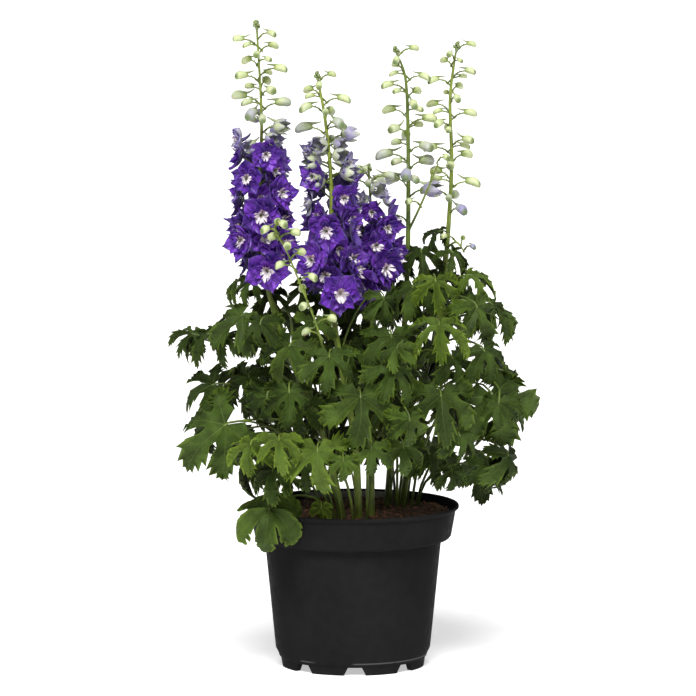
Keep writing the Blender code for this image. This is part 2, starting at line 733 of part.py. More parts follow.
def floret(centre, away, size, spin):
    """An open floret: five broad petals, a smaller whorl that stands on them and the spur behind."""
    up = Vector((0, 0, 1))
    along = away.normalized()
    across = along.cross(up).normalized()
    upright = across.cross(along)
    points, faces = [], []

    def loop(petals, outline, depth_of, turn):
        found = []
        for k in range(petals):
            for share, r in outline:
                degrees = 360 / petals * (k + 0.5 + share) + turn
                a = math.radians(degrees)
                found.append((len(points), degrees))
                outward = across * math.sin(a) + upright * math.cos(a)
                points.append(centre + outward * size * r + along * depth_of(r))
        return found

    def petal(r):
        return 0.2 * size * r * r

    def inner(r):
        return 1.2 * MM + 0.6 * size * r * r

    turn = spin % 30
    rings = [
        loop(SPUR_SIDES, ((-0.5, 0.1),), lambda r: -PETAL - 0.4 * MM, turn),
        loop(PETALS, PETAL_EDGE, lambda r: petal(r) - PETAL, turn),
        loop(PETALS, PETAL_EDGE, petal, turn),
        loop(INNER_PETALS, ((-0.5, 0.17),), lambda r: 0.5 * MM, turn),
        loop(INNER_PETALS, INNER_EDGE, lambda r: inner(r) - PETAL, turn),
        loop(INNER_PETALS, INNER_EDGE, inner, turn),
    ]
    for low, high in zip(rings, rings[1:]):
        faces += zipped(low, high)
    ends = ((rings[0], centre - along * 10 * MM + upright * 8 * MM), (rings[-1], centre + along * 2 * MM))
    for ring, tip in ends:
        numbers = [number for number, _ in ring]
        faces += [(a, b, len(points)) for a, b in zip(numbers, numbers[1:] + numbers[:1])]
        points.append(tip)
    return points, faces


def spike_florets(name, path):
    """The florets of one spike, and the green stalks that reach up behind them."""
    low, high, count, first, stand, bare = FLORETS[name]
    petals, stalks = [], []
    draw = random.Random(name + " florets")
    for k in range(count):
        share = k / (count - 1)
        height = low + (high - low) * share
        turn = math.radians(first) + FLORET_TURN * k + draw.uniform(-0.08, 0.08)
        lean, spin = draw.uniform(-0.08, 0.04), draw.uniform(0, 72)
        if bare and bare[0] < height < bare[1] and math.cos(turn) > 0.72:
            continue
        middle, _ = place_on(path, height * MM)
        level = Vector((math.sin(turn), -math.cos(turn), 0))
        centre = middle + level * stand * MM * (1 - 0.16 * share)
        size = (24 - 3 * share) * MM
        away = (level + Vector((0, 0, lean))).normalized()
        petals.append(floret(centre, away, size, spin))
        foot = middle - Vector((0, 0, 15 * MM))
        back = centre - away * (PETAL + 1.1 * MM) - Vector((0, 0, 4.6 * MM))
        stalks.append(tube([foot, back], [1.1 * MM, MM], 3))
    return petals, stalks


def join(name, pieces, finish):
    meshes = [mesh_of(points, faces) for points, faces in pieces]
    made = boolean(meshes[0], meshes[1:], "UNION") if len(meshes) > 1 else meshes[0]
    largest_body(made)
    return object_of(name, made, finish)


def grow(stems, room):
    """The pieces of every stem, flower head and basal leaf, under their nodes' names. Large leaves go first."""
    nodes = {}
    for name, path in stems.items():
        pieces = [tube(path, tapering(path, *STEMS[name][1:]), 6)]
        pieces += [tube(shoot, tapering(shoot, 1.8, 0.9), 4) for shoot in shoot_paths(name)]
        nodes["stem_" + name] = (pieces, "foliage")
        room.append(("stem_" + name, "stem", tree_of(pieces)))
    for name in FLORETS:
        petals, stalks = spike_florets(name, stems[name])
        nodes["flowers_" + name] = (petals, "petals")
        nodes["stem_" + name][0].extend(stalks)
        room.append(("flowers_" + name, "petals", tree_of(petals)))
        room.append(("stem_" + name, "stem", tree_of(stalks)))
    for name, path in stems.items():
        node = "stem_" + name
        for pieces in (spike_buds(name, path, node, room), shoot_buds(name, node, room)):
            nodes[node][0].extend(pieces)
            if pieces:
                room.append((node, "stem", tree_of(pieces)))
    leaves = []
    for name, rows in STEM_LEAVES.items():
        for *row, height in rows:
            leaves.append((tuple(row), "stem_" + name, place_on(stems[name], height * MM)[0], False))
    for number, (*row, ground) in enumerate(BASAL_LEAVES, 1):
        start = Vector((ground[0] * MM, ground[1] * MM, ROOT_TOP))
        leaves.append((tuple(row), f"basal_leaf_{number}", start, True))
    leaves.sort(key=lambda placed: -placed[0][3])
    for row, node, start, rooted in leaves:
        grown = leaf(settle(row, start, node, room), start, rooted)
        nodes.setdefault(node, ([], "foliage"))[0].append(grown)
        room.append((node, "leaf", tree_of([grown])))
    return nodes


def main():
    clear_scene()
    stems = {name: stem_path(name) for name in STEMS}
    roots = [(path[0].x, path[0].y, STEMS[name][1] * MM) for name, path in stems.items()]
    roots += [(row[8][0] * MM, row[8][1] * MM, stalk_radius(row[3], 0)) for row in BASAL_LEAVES]
    pot, soil = make_pot(), make_soil(roots)
    for name, mesh, finish in (("pot", pot, "pot"), ("soil", soil, "peat")):
        largest_body(mesh)
        object_of(name, mesh, finish)
    room = [("pot", "shell", tree_of_mesh(pot)), ("soil", "shell", tree_of_mesh(soil))]
    for node, (pieces, finish) in grow(stems, room).items():
        join(node, pieces, finish)


if __name__ == "__main__":
    main()
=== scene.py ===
# Looks of the potted delphinium: lobed leaves with veins, ruffled violet florets with pale eyes, buds,
# ribbed stems, the black nursery pot and its peat. Each piece stands for the plain solid that it dresses.
import json
import random
from math import atan2, cos, hypot, pi, radians, sin, sqrt, tau
import bmesh
import bpy
from mathutils import Matrix, Vector, kdtree, noise

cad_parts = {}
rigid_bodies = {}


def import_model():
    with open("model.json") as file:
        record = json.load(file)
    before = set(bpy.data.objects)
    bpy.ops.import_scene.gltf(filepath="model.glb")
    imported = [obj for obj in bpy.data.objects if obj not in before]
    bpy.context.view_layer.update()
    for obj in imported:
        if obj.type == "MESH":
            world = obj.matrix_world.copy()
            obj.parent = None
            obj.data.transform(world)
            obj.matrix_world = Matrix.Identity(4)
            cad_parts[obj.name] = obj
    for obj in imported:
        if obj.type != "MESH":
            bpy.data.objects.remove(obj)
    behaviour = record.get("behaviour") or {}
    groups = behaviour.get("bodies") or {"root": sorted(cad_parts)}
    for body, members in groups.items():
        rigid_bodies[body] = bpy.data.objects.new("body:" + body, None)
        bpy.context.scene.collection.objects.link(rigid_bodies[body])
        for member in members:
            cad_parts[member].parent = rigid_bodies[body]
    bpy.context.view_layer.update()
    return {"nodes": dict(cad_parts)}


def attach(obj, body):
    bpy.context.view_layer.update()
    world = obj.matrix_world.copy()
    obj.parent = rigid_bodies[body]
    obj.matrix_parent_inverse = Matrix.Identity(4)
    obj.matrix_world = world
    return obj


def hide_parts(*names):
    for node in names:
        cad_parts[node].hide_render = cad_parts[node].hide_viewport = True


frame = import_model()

mm = 0.001
up = Vector((0, 0, 1))
goldenTurn = radians(137.5)


def newObject(name, data):
    made = bpy.data.objects.new(name, data)
    bpy.context.scene.collection.objects.link(made)
    return made


def meshOf(name, shape):
    mesh = bpy.data.meshes.new(name)
    shape.to_mesh(mesh)
    shape.free()
    return mesh


# Camera, light and floor

view = {"distance": 8, "elevation": 8.57, "aside": -0.0054, "aim": 0.3463, "middle": 0.176,
        "pixel": 0.001082, "pixels": 696, "film": 36, "far": 60}
lamps = {
    "key": {"place": (-0.2, -2.5, 3.1), "spread": 30, "power": 4.4},
    "fill": {"place": (1.6, -2.4, 1.2), "spread": 60, "power": 0.12},
    "back": {"place": (0.8, 2.6, 2.6), "spread": 50, "power": 0.24},
}
room = {"light": 0.16, "floor": 16, "floorColour": (0.8, 0.8, 0.8, 1), "floorGlow": 0.5}


def aimed(name, data, place, aim):
    made = newObject(name, data)
    made.location = place
    made.rotation_euler = (aim - place).to_track_quat("-Z", "Y").to_euler()
    return made


def makeCamera():
    data = bpy.data.cameras.new("camera")
    tilt = radians(view["elevation"])
    height = view["middle"] + view["distance"] * sin(tilt)
    place = Vector((view["aside"], -view["distance"] * cos(tilt), height))
    aim = Vector((view["aside"], 0, view["aim"]))
    data.sensor_width = view["film"]
    data.lens = view["film"] * (aim - place).length / (view["pixels"] * view["pixel"])
    data.clip_end = view["far"]
    bpy.context.scene.camera = aimed("camera", data, place, aim)


def makeLights():
    for name, lamp in lamps.items():
        data = bpy.data.lights.new(name, "SUN")
        data.energy, data.angle = lamp["power"], radians(lamp["spread"])
        aimed(name, data, Vector(lamp["place"]), Vector())
    world = bpy.data.worlds.new("room")
    world.use_nodes = True
    world.node_tree.nodes["Background"].inputs["Color"].default_value = (1, 1, 1, 1)
    world.node_tree.nodes["Background"].inputs["Strength"].default_value = room["light"]
    bpy.context.scene.world = world
    bpy.context.scene.view_settings.view_transform = "Standard"


def makeFloor():
    shape = bmesh.new()
    bmesh.ops.create_grid(shape, x_segments=1, y_segments=1, size=room["floor"])
    floor = newObject("floor", meshOf("floor", shape))
    plain = {"Base Color": room["floorColour"], "Roughness": 0.9, "Emission Color": (1, 1, 1, 1),
             "Emission Strength": room["floorGlow"]}
    floor.data.materials.append(newMaterial("floor", plain)[0])


# Shader helpers. Each finds the node tree that it adds to from the socket that it is given.


def isSocket(value):
    return isinstance(value, bpy.types.NodeSocket)


def newMaterial(name, plain):
    material = bpy.data.materials.new(name)
    material.use_nodes = True
    shader = material.node_tree.nodes["Principled BSDF"]
    for socket, value in plain.items():
        shader.inputs[socket].default_value = value
    return material, material.node_tree, shader


def put(tree, kind, inputs=None, **settings):
    # Adds a node. An input is given a plain value or another node's output.
    added = tree.nodes.new("ShaderNode" + kind)
    for key, value in settings.items():
        setattr(added, key, value)
    for key, value in (inputs or {}).items():
        if isSocket(value):
            tree.links.new(value, added.inputs[key])
        else:
            added.inputs[key].default_value = value
    return added


def maths(operation, first, second=0.0, clamp=False):
    tree = (first if isSocket(first) else second).id_data
    return put(tree, "Math", {0: first, 1: second}, operation=operation, use_clamp=clamp).outputs[0]


def times(total, *values, clamp=False):
    for value in values:
        total = maths("MULTIPLY", total, value, clamp)
    return total


def plus(first, second, clamp=False):
    return maths("ADD", first, second, clamp)


def summed(*terms):
    # Adds up pairs of factors.
    total = times(*terms[0])
    for first, second in terms[1:]:
        total = plus(total, times(first, second))
    return total


def stepped(value, low, high, start=0.0, end=1.0):
    # Goes smoothly from start to end while the value goes from low to high.
    inputs = {"Value": value, "From Min": low, "From Max": high, "To Min": start, "To Max": end}
    return put(value.id_data, "MapRange", inputs, interpolation_type="SMOOTHSTEP").outputs["Result"]


def noiseOn(place, scale, detail):
    inputs = {"Vector": place, "Scale": scale, "Detail": detail}
    return put(place.id_data, "TexNoise", inputs).outputs["Fac"]


def layered(ground, *layers):
    # Lays colours over a ground colour, each one where its mask lets it through.
    colour = (*ground, 1)
    for mask, over in layers:
        inputs = {0: mask, 6: colour, 7: (*over, 1)}
        colour = put(mask.id_data, "Mix", inputs, data_type="RGBA").outputs[2]
    return colour


def attribute(tree, name):
    return put(tree, "Attribute", attribute_name=name).outputs["Fac"]


def mapOn(tree):
    return put(tree, "UVMap", uv_map="map").outputs["UV"]


def placeIn(tree):
    return put(tree, "TexCoord").outputs["Object"]


def partsOf(place):
    return put(place.id_data, "SeparateXYZ", {0: place}).outputs


def dress(shader, colour, height, strength, distance, rough=None):
    # Joins a finished colour, a relief in millimetres and, where it varies, the roughness to the shader.
    tree = shader.id_data
    tree.links.new(colour, shader.inputs["Base Color"])
    if rough is not None:
        tree.links.new(rough, shader.inputs["Roughness"])
    inputs = {"Height": height, "Strength": strength, "Distance": distance * mm}
    tree.links.new(put(tree, "Bump", inputs).outputs["Normal"], shader.inputs["Normal"])


def newGroup(name, inputs, outputs):
    tree = bpy.data.node_groups.new(name, "ShaderNodeTree")
    for label, kind, value in inputs:
        socket = tree.interface.new_socket(label, in_out="INPUT", socket_type="NodeSocket" + kind)
        if value is not None:
            socket.default_value = value
    for label in outputs:
        tree.interface.new_socket(label, in_out="OUTPUT", socket_type="NodeSocketFloat")
    return tree, tree.nodes.new("NodeGroupInput").outputs, tree.nodes.new("NodeGroupOutput").inputs


def patchGroup():
    # Soft patches of an even size over the surface, with finer ones inside them.
    inputs = [("Vector", "Vector", None), ("Scale", "Float", 60.0)]
    tree, given, out = newGroup("patches", inputs, ["Large", "Fine"])
    large = noiseOn(given["Vector"], given["Scale"], 3.0)
    fine = noiseOn(given["Vector"], times(given["Scale"], 7.0), 4.0)
    tree.links.new(stepped(large, 0.32, 0.68), out["Large"])
    tree.links.new(stepped(fine, 0.3, 0.7), out["Fine"])
    return tree


def leafVeinGroup():
    # A midrib for each lobe, side veins that leave it at a slant, and the small quilted cells between them.
    inputs = [("Map", "Vector", None), ("Midrib", "Float", 0.009), ("Spacing", "Float", 9.0)]
    tree, given, out = newGroup("leafVeins", inputs, ["Midrib", "Side", "Cells"])
    parts = partsOf(given["Map"])
    wide = times(given["Midrib"], maths("SUBTRACT", 1.35, parts["Y"]))
    rib = stepped(maths("DIVIDE", parts["X"], wide), 0.5, 1.3, 1.0, 0.0)
    slant = maths("SUBTRACT", parts["Y"], times(parts["X"], 1.25))
    run = summed((slant, given["Spacing"]), (noiseOn(given["Map"], 6.0, 2.0), 0.9))
    saw = maths("ABSOLUTE", maths("SUBTRACT", maths("FRACT", run), 0.5))
    cells = put(tree, "TexVoronoi", {"Vector": given["Map"], "Scale": 26.0}, feature="DISTANCE_TO_EDGE")
    tree.links.new(rib, out["Midrib"])
    tree.links.new(stepped(saw, 0.41, 0.485), out["Side"])
    tree.links.new(stepped(cells.outputs["Distance"], 0.0, 0.09, 1.0, 0.0), out["Cells"])
    return tree


groups = {"patches": patchGroup(), "leafVeins": leafVeinGroup()}


def patchesOn(tree, scale):
    inputs = {"Vector": placeIn(tree), "Scale": scale}
    return put(tree, "Group", inputs, node_tree=groups["patches"]).outputs


# Materials

leafLooks = {
    "leafTop": {"deep": (0.02, 0.035, 0.004), "green": (0.06, 0.105, 0.015), "young": (0.21, 0.31, 0.03),
                "vein": (0.14, 0.2, 0.05), "veinShare": 0.28, "roughness": 0.55, "bump": 0.8, "relief": 0.6},
    "leafUnder": {"deep": (0.034, 0.052, 0.016), "green": (0.075, 0.11, 0.034),
                  "young": (0.18, 0.25, 0.045), "vein": (0.15, 0.21, 0.07), "veinShare": 0.5,
                  "roughness": 0.68, "bump": 0.7, "relief": -0.6},
}


def leafMaterial(name):
    look = leafLooks[name]
    material, tree, shader = newMaterial(name, {"Specular IOR Level": 0.16})
    midrib, side, cells = put(tree, "Group", {"Map": mapOn(tree)}, node_tree=groups["leafVeins"]).outputs
    large, fine = patchesOn(tree, 38.0)
    tone, margin = attribute(tree, "tone"), attribute(tree, "margin")
    bright = times(tone, plus(times(margin, 0.8), 0.28), clamp=True)
    rim = times(stepped(margin, 0.5, 1.0), 0.28)
    # Tones below 0 darken towards a deeper green; the leaves inside the mound use this for painted shade
    colour = layered(
        look["deep"], (large, look["green"]),
        (times(tone, -0.9, clamp=True), [0.45 * part for part in look["deep"]]),
        (plus(bright, rim, clamp=True), look["young"]), (times(midrib, look["veinShare"]), look["vein"]),
        (times(side, 0.45 * look["veinShare"]), look["vein"]), (times(fine, 0.16), look["deep"]),
    )
    height = summed((midrib, -1.0), (side, -0.6), (cells, -0.35), (fine, 0.25))
    rough = stepped(fine, 0.0, 1.0, look["roughness"] - 0.07, look["roughness"] + 0.12)
    dress(shader, colour, height, look["bump"], look["relief"], rough)
    return material


stalkLook = {"green": (0.14, 0.2, 0.02), "dark": (0.05, 0.08, 0.01), "pale": (0.34, 0.42, 0.05)}


def stalkMaterial():
    # Long fine streaks that run up the stem, paler on young stalks.
    material, tree, shader = newMaterial("stalk", {"Subsurface Weight": 0.06, "Subsurface Scale": 0.002})
    stretched = put(tree, "Mapping", {"Vector": placeIn(tree), "Scale": (1.0, 1.0, 0.09)}).outputs[0]
    streaks = noiseOn(stretched, 900.0, 3.0)
    (large, fine), tone = patchesOn(tree, 45.0), attribute(tree, "tone")
    rising = stepped(attribute(tree, "margin"), 0.25, 0.75, 0.25, 1.0)
    colour = layered(
        stalkLook["dark"], (large, stalkLook["green"]),
        (times(tone, rising, clamp=True), stalkLook["pale"]),
        (times(tone, -1.0, clamp=True), stalkLook["dark"]),
        (stepped(streaks, 0.4, 0.62, 0.0, 0.35), stalkLook["dark"]),
    )
    dress(shader, colour, plus(streaks, fine), 0.35, 0.4, stepped(streaks, 0.3, 0.7, 0.4, 0.62))
    return material


petalLooks = {
    "petal": {"deep": (0.009, 0.002, 0.055), "violet": (0.045, 0.006, 0.22), "bright": (0.2, 0.045, 0.52),
              "edge": (0.03, 0.004, 0.16), "edgeShare": 0.5},
    "petalBack": {"deep": (0.012, 0.003, 0.06), "violet": (0.04, 0.01, 0.16), "bright": (0.13, 0.07, 0.3),
                  "edge": (0.02, 0.003, 0.12), "edgeShare": 0.5},
    "bell": {"deep": (0.24, 0.3, 0.09), "violet": (0.52, 0.58, 0.34), "bright": (0.3, 0.25, 0.48),
             "edge": (0.05, 0.015, 0.24), "edgeShare": 0.8},
    "bee": {"deep": (0.36, 0.22, 0.24), "violet": (0.8, 0.72, 0.8), "bright": (0.9, 0.87, 0.88),
            "edge": (0.4, 0.26, 0.42), "edgeShare": 0.5},
}


def petalMaterial(name):
    # Darker veins fan out from the petal's claw, and the violet turns bluer and redder in soft patches.
    look = petalLooks[name]
    plain = {"Roughness": 0.42, "Specular IOR Level": 0.4, "Sheen Weight": 0.1}
    material, tree, shader = newMaterial(name, plain)
    place = mapOn(tree)
    parts, (large, fine) = partsOf(place), patchesOn(tree, 75.0)
    tone, margin = attribute(tree, "tone"), attribute(tree, "margin")
    fan = summed((parts["X"], 17.0), (noiseOn(place, 3.0, 2.0), 5.0))
    lines = stepped(maths("SINE", fan), 0.45, 1.0)
    colour = layered(
        look["violet"], (large, look["bright"]), (times(tone, 1.0, clamp=True), look["bright"]),
        (times(tone, -1.0, clamp=True), look["deep"]), (times(lines, 0.5), look["deep"]),
        (stepped(parts["Y"], 0.0, 0.4, 0.6, 0.0), look["deep"]),
        (stepped(margin, 0.8, 1.0, 0.0, look["edgeShare"]), look["edge"]),
    )
    dress(shader, colour, summed((lines, -0.5), (fine, 0.5)), 0.45, 0.5)
    return material


budLook = {"pale": (0.54, 0.6, 0.33), "green": (0.28, 0.36, 0.09), "seam": (0.1, 0.15, 0.03),
           "blush": (0.22, 0.18, 0.46)}


def budMaterial():
    # Pale sepals with greener seams and tips. The margin attribute runs from the neck to the tip.
    plain = {"Roughness": 0.5, "Subsurface Weight": 0.15, "Subsurface Scale": 0.002}
    material, tree, shader = newMaterial("bud", plain)
    (large, fine), margin = patchesOn(tree, 120.0), attribute(tree, "margin")
    seams = stepped(partsOf(mapOn(tree))["X"], 0.0, 0.3, 1.0, 0.0)
    blush = times(attribute(tree, "tone"), stepped(margin, 0.15, 0.85, 0.3, 1.0), clamp=True)
    colour = layered(
        budLook["green"], (stepped(margin, 0.0, 0.45), budLook["pale"]),
        (times(large, 0.2), budLook["green"]), (blush, budLook["blush"]),
        (stepped(margin, 0.82, 1.0, 0.0, 0.9), budLook["seam"]), (times(seams, 0.75), budLook["seam"]),
    )
    dress(shader, colour, summed((seams, -1.0), (fine, 0.4)), 0.5, 0.5)
    return material


# Places in metres: how far from the middle, how far to the back and how high
potLook = {
    "dark": (0.0102, 0.0103, 0.0106), "dull": (0.0126, 0.0127, 0.013), "dust": (0.03, 0.028, 0.026),
    # Painted light: a light grey band high on the wall inside, at the back, where that wall catches the
    # light
    "paintedLight": (0.4, 0.396, 0.39), "paintedLightOut": (0.1104, 0.1109), "paintedLightHigh": (0.1655, 0.167),
    "paintedLightBack": (0.092, 0.105),
    # Painted highlight: a light line in stretches along the edge above the foot
    "paintedEdgeLight": (0.085, 0.084, 0.082), "paintedEdgeLightOut": (0.079, 0.0798), "paintedEdgeLightFrom": (0.0119, 0.0126),
    "paintedEdgeLightTo": (0.0134, 0.0141),
}


def potMaterial():
    # Black plastic with a fine moulded grain, faint dull patches and a little dust; a light band high on the
    # back of the wall inside and a light line above the foot are painted light.
    material, tree, shader = newMaterial("potPlastic", {"Specular IOR Level": 0.005})
    (large, fine), where = patchesOn(tree, 14.0), placeIn(tree)
    x, y, z = partsOf(where)
    out = maths("SQRT", summed((x, x), (y, y)))
    # Painted light high on the back of the wall inside
    paintedLight = times(stepped(out, *potLook["paintedLightOut"], 1.0, 0.0), stepped(z, *potLook["paintedLightHigh"]),
                  stepped(y, *potLook["paintedLightBack"]), stepped(large, 0.0, 1.0, 0.6, 0.9))
    # Painted highlight in stretches along the edge above the foot
    paintedEdgeLight = times(stepped(z, *potLook["paintedEdgeLightFrom"]), stepped(z, *potLook["paintedEdgeLightTo"], 1.0, 0.0),
                   stepped(out, *potLook["paintedEdgeLightOut"]), stepped(large, 0.35, 0.6, 0.0, 0.8))
    colour = layered(
        potLook["dark"], (large, potLook["dull"]), (times(fine, 0.1), potLook["dust"]),
        (paintedLight, potLook["paintedLight"]), (paintedEdgeLight, potLook["paintedEdgeLight"]),
    )
    rough = stepped(fine, 0.0, 1.0, 0.42, 0.56)
    dress(shader, colour, noiseOn(where, 1400.0, 2.0), 0.12, 0.25, rough)
    return material


peatLook = {"dark": (0.05, 0.03, 0.015), "brown": (0.22, 0.118, 0.063), "crumb": (0.5, 0.21, 0.11)}


def peatMaterial():
    material, tree, shader = newMaterial("peatGround", {"Roughness": 0.95})
    (large, fine), tone = patchesOn(tree, 300.0), attribute(tree, "tone")
    colour = layered(
        peatLook["dark"], (large, peatLook["brown"]), (times(tone, 1.0, clamp=True), peatLook["crumb"]),
    )
    dress(shader, colour, plus(large, fine), 0.8, 1.5)
    return material


materials = {name: leafMaterial(name) for name in leafLooks}
materials |= {name: petalMaterial(name) for name in petalLooks}
materials |= {"stalk": stalkMaterial(), "beeDark": stalkMaterial(), "bud": budMaterial(),
              "pot": potMaterial(), "peat": peatMaterial()}


# Shape helpers


def newShape():
    # Every shape holds the same layers, so that shapes can be put together.
    shape = bmesh.new()
    uv, tone = shape.loops.layers.uv.new("map"), shape.verts.layers.float.new("tone")
    return shape, uv, tone, shape.verts.layers.float.new("margin")


def joined(parts):
    whole = newShape()[0]
    for part in parts:
        held = meshOf("held", part)
        whole.from_mesh(held)
        bpy.data.meshes.remove(held)
    return whole


def finishPiece(name, parts, finishes, replaced, sharp=50):
    mesh = meshOf(name, joined(parts))
    for finish in finishes:
        mesh.materials.append(materials[finish])
    mesh.shade_smooth()
    mesh.set_sharp_from_angle(angle=radians(sharp))
    piece = newObject(name, mesh)
    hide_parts(*replaced)
    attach(piece, "root")


def mapFaces(shape, uv, maps):
    for face in shape.faces:
        for loop in face.loops:
            loop[uv].uv = maps[loop.vert]


def openSheet(columns, rows, place, tone):
    # A grid bent into a petal or a lobe. place gives a corner's point, its place on the map and its margin.
    shape, uv, toneLayer, marginLayer = newShape()
    bmesh.ops.create_grid(shape, x_segments=columns, y_segments=rows, size=0.5)
    maps = {}
    for corner in shape.verts:
        i, j = round((corner.co.x + 0.5) * columns), round((corner.co.y + 0.5) * rows)
        corner.co, maps[corner], corner[marginLayer] = place(i, j)
        corner[toneLayer] = tone
    mapFaces(shape, uv, maps)
    return shape


def thicken(shape, thickness, finishes):
    # Gives an open sheet its second side, a little below the first, and closes its edge.
    bmesh.ops.remove_doubles(shape, verts=shape.verts, dist=1e-6)
    shape.normal_update()
    way = shape.verts.layers.float_vector.new("way")
    for corner in shape.verts:
        corner[way] = corner.normal
    for face in shape.faces:
        face.material_index = finishes[0]
    for part in bmesh.ops.extrude_face_region(shape, geom=shape.faces[:], use_keep_orig=True)["geom"]:
        if isinstance(part, bmesh.types.BMVert):
            part.co = part.co - thickness * part[way]
        elif isinstance(part, bmesh.types.BMFace):
            part.material_index = finishes[1]
    bmesh.ops.recalc_face_normals(shape, faces=shape.faces)
    shape.verts.layers.float_vector.remove(way)


def sheet(look, place, tone, finishes):
    shape = openSheet(look["columns"], look["rows"], place, tone)
    thicken(shape, look["thickness"] * mm, finishes)
    return shape


def limb(path, radii, sides, tone, finish=0, ribs=0.0):
    # A round closed stalk along a path, from a cylinder that is cut into rings and bent. Its radii, in
    # millimetres, are given for the foot and the tip alone or for every point.
    last = len(path) - 1
    if len(radii) == 2:
        radii = [radii[0] + (radii[1] - radii[0]) * i / last for i in range(last + 1)]
    shape, _, toneLayer, marginLayer = newShape()
    bmesh.ops.create_cone(shape, cap_ends=True, segments=sides, radius1=1, radius2=1, depth=2)
    long = [edge for edge in shape.edges if abs(edge.verts[0].co.z - edge.verts[1].co.z) > 1]
    bmesh.ops.subdivide_edges(shape, edges=long, cuts=last - 1)
    across = (path[1] - path[0]).normalized().orthogonal().normalized()
    rings = []
    for i, centre in enumerate(path):
        along = (path[min(i + 1, last)] - path[max(i - 1, 0)]).normalized()
        across = (across - along * across.dot(along)).normalized()
        rings.append((centre, across, along.cross(across)))
    for corner in shape.verts:
        share = (corner.co.z + 1) / 2
        i = round(share * last)
        centre, side, other = rings[i]
        turn = atan2(corner.co.y, corner.co.x)
        radius = radii[i] * mm * (1 + ribs * cos(6 * turn))
        corner.co = centre + radius * (side * cos(turn) + other * sin(turn))
        corner[toneLayer], corner[marginLayer] = tone, share
    for face in shape.faces:
        face.material_index = finish
    return shape


def smoothPath(points, steps):
    ends = [2 * points[0] - points[1], *points, 2 * points[-1] - points[-2]]
    spans = len(points) - 1
    found = []
    for i in range(steps + 1):
        at = spans * i / steps
        k = min(int(at), spans - 1)
        t = at - k
        a, b, c, d = ends[k:k + 4]
        square, cube = 2 * a - 5 * b + 4 * c - d, 3 * b - a - 3 * c + d
        found.append(0.5 * (2 * b + (c - a) * t + square * t * t + cube * t ** 3))
    return found


def placeOn(path, height):
    for low, high in zip(path, path[1:]):
        if low.z <= height * mm <= high.z:
            return low.lerp(high, (height * mm - low.z) / (high.z - low.z))
    return path[-1].copy()


def outwards(turn, rise=0.0):
    # The way that leads from the stem at this turn from the front.
    return Vector((sin(turn), -cos(turn), rise))


def drawn(draw, look, *names):
    # One random value for each named span of a piece's settings
    return [draw.uniform(*look[name]) for name in names]


def cornersOf(node):
    corners = frame["nodes"][node].data.vertices
    tree = kdtree.KDTree(len(corners))
    for i, corner in enumerate(corners):
        tree.insert(corner.co, i)
    tree.balance()
    return tree


# Stems and side shoots, in millimetres, as the solids have them: points from the peat up, and radii

stems = {
    "left": {"route": [(-12, -38), (-30, -45, 250), (-66, -50, 340), (-92, -50, 420), (-100, -48, 520),
                       (-98, -45, 600), (-103, -42, 697)], "tone": 0.45, "foot": 4.2, "tip": 1.1},
    "front": {"route": [(6, -44), (2, -50, 250), (-12, -55, 330), (-22, -55, 400), (-23, -52, 480),
                        (-24, -50, 540), (-30, -48, 600), (-38, -46, 643)],
              "tone": 0.8, "foot": 4.4, "tip": 1.3},
    "middle": {"route": [(20, -26), (20, -15, 250), (20, -3, 340), (21, 6, 420), (20, 8, 480), (17, 8, 538)],
               "tone": 0.3, "foot": 3.8, "tip": 1.2},
    "right": {"route": [(38, 46), (44, 44, 250), (54, 38, 340), (59, 34, 430), (60, 30, 520), (59, 28, 600),
                        (56, 27, 640), (47, 26, 664)], "tone": 0.1, "foot": 4.2, "tip": 1.0},
    "far_right": {"route": [(54, 56), (66, 55, 240), (86, 50, 330), (99, 44, 420), (104, 40, 480),
                            (107, 38, 545), (105, 36, 610), (109, 35, 650), (112, 34, 668)],
                  "tone": 0.5, "foot": 4.0, "tip": 1.0},
}
shoots = {
    "front": [[(1, -51, 262), (-20, -84, 322), (-31, -104, 356), (-40, -108, 388), (-56, -108, 428),
               (-70, -106, 462), (-84, -102, 486)]],
    "right": [[(60, 32, 470), (70, 22, 492), (80, 14, 516), (92, 8, 546)]],
    "far_right": [[(101, 42, 450), (112, 30, 458), (121, 22, 448)]],
}
stemForm = {"rootFoot": 150, "rootTop": 171, "steps": 44, "sides": 24, "ribs": 0.05}
shootForm = {"radii": (1.45, 0.8), "steps": 18, "sides": 10, "ribs": 0.04, "tone": 0.35}


def stemPath(name, steps=11):
    points = stems[name]["route"]
    x, y = points[0]
    route = [Vector((x, y, stemForm["rootTop"])) * mm] + [Vector(p) * mm for p in points[1:]]
    return [Vector((x, y, stemForm["rootFoot"])) * mm] + smoothPath(route, steps)


def shootPaths(name, steps):
    return [smoothPath([Vector(p) * mm for p in points], steps) for points in shoots.get(name, [])]


def makeStems(stalkParts):
    for name, look in stems.items():
        path, radii = stemPath(name, stemForm["steps"]), (look["foot"] * 0.97, look["tip"] * 0.95)
        parts = [limb(path, radii, stemForm["sides"], look["tone"], ribs=stemForm["ribs"])]
        for shoot in shootPaths(name, shootForm["steps"]):
            radii, sides, tone = shootForm["radii"], shootForm["sides"], shootForm["tone"]
            parts.append(limb(shoot, radii, sides, tone, ribs=shootForm["ribs"]))
        finishPiece("stalks_" + name, parts + stalkParts[name], ["stalk"], ["stem_" + name])


# Florets. Each spike: lowest and highest floret, how many, first turn and reach from the stem as in the
# solids; the ones that face the front as the photo shows them (height, turn, size, reach); and young ones on
# top, which the solids leave out (height, turn, size, reach)

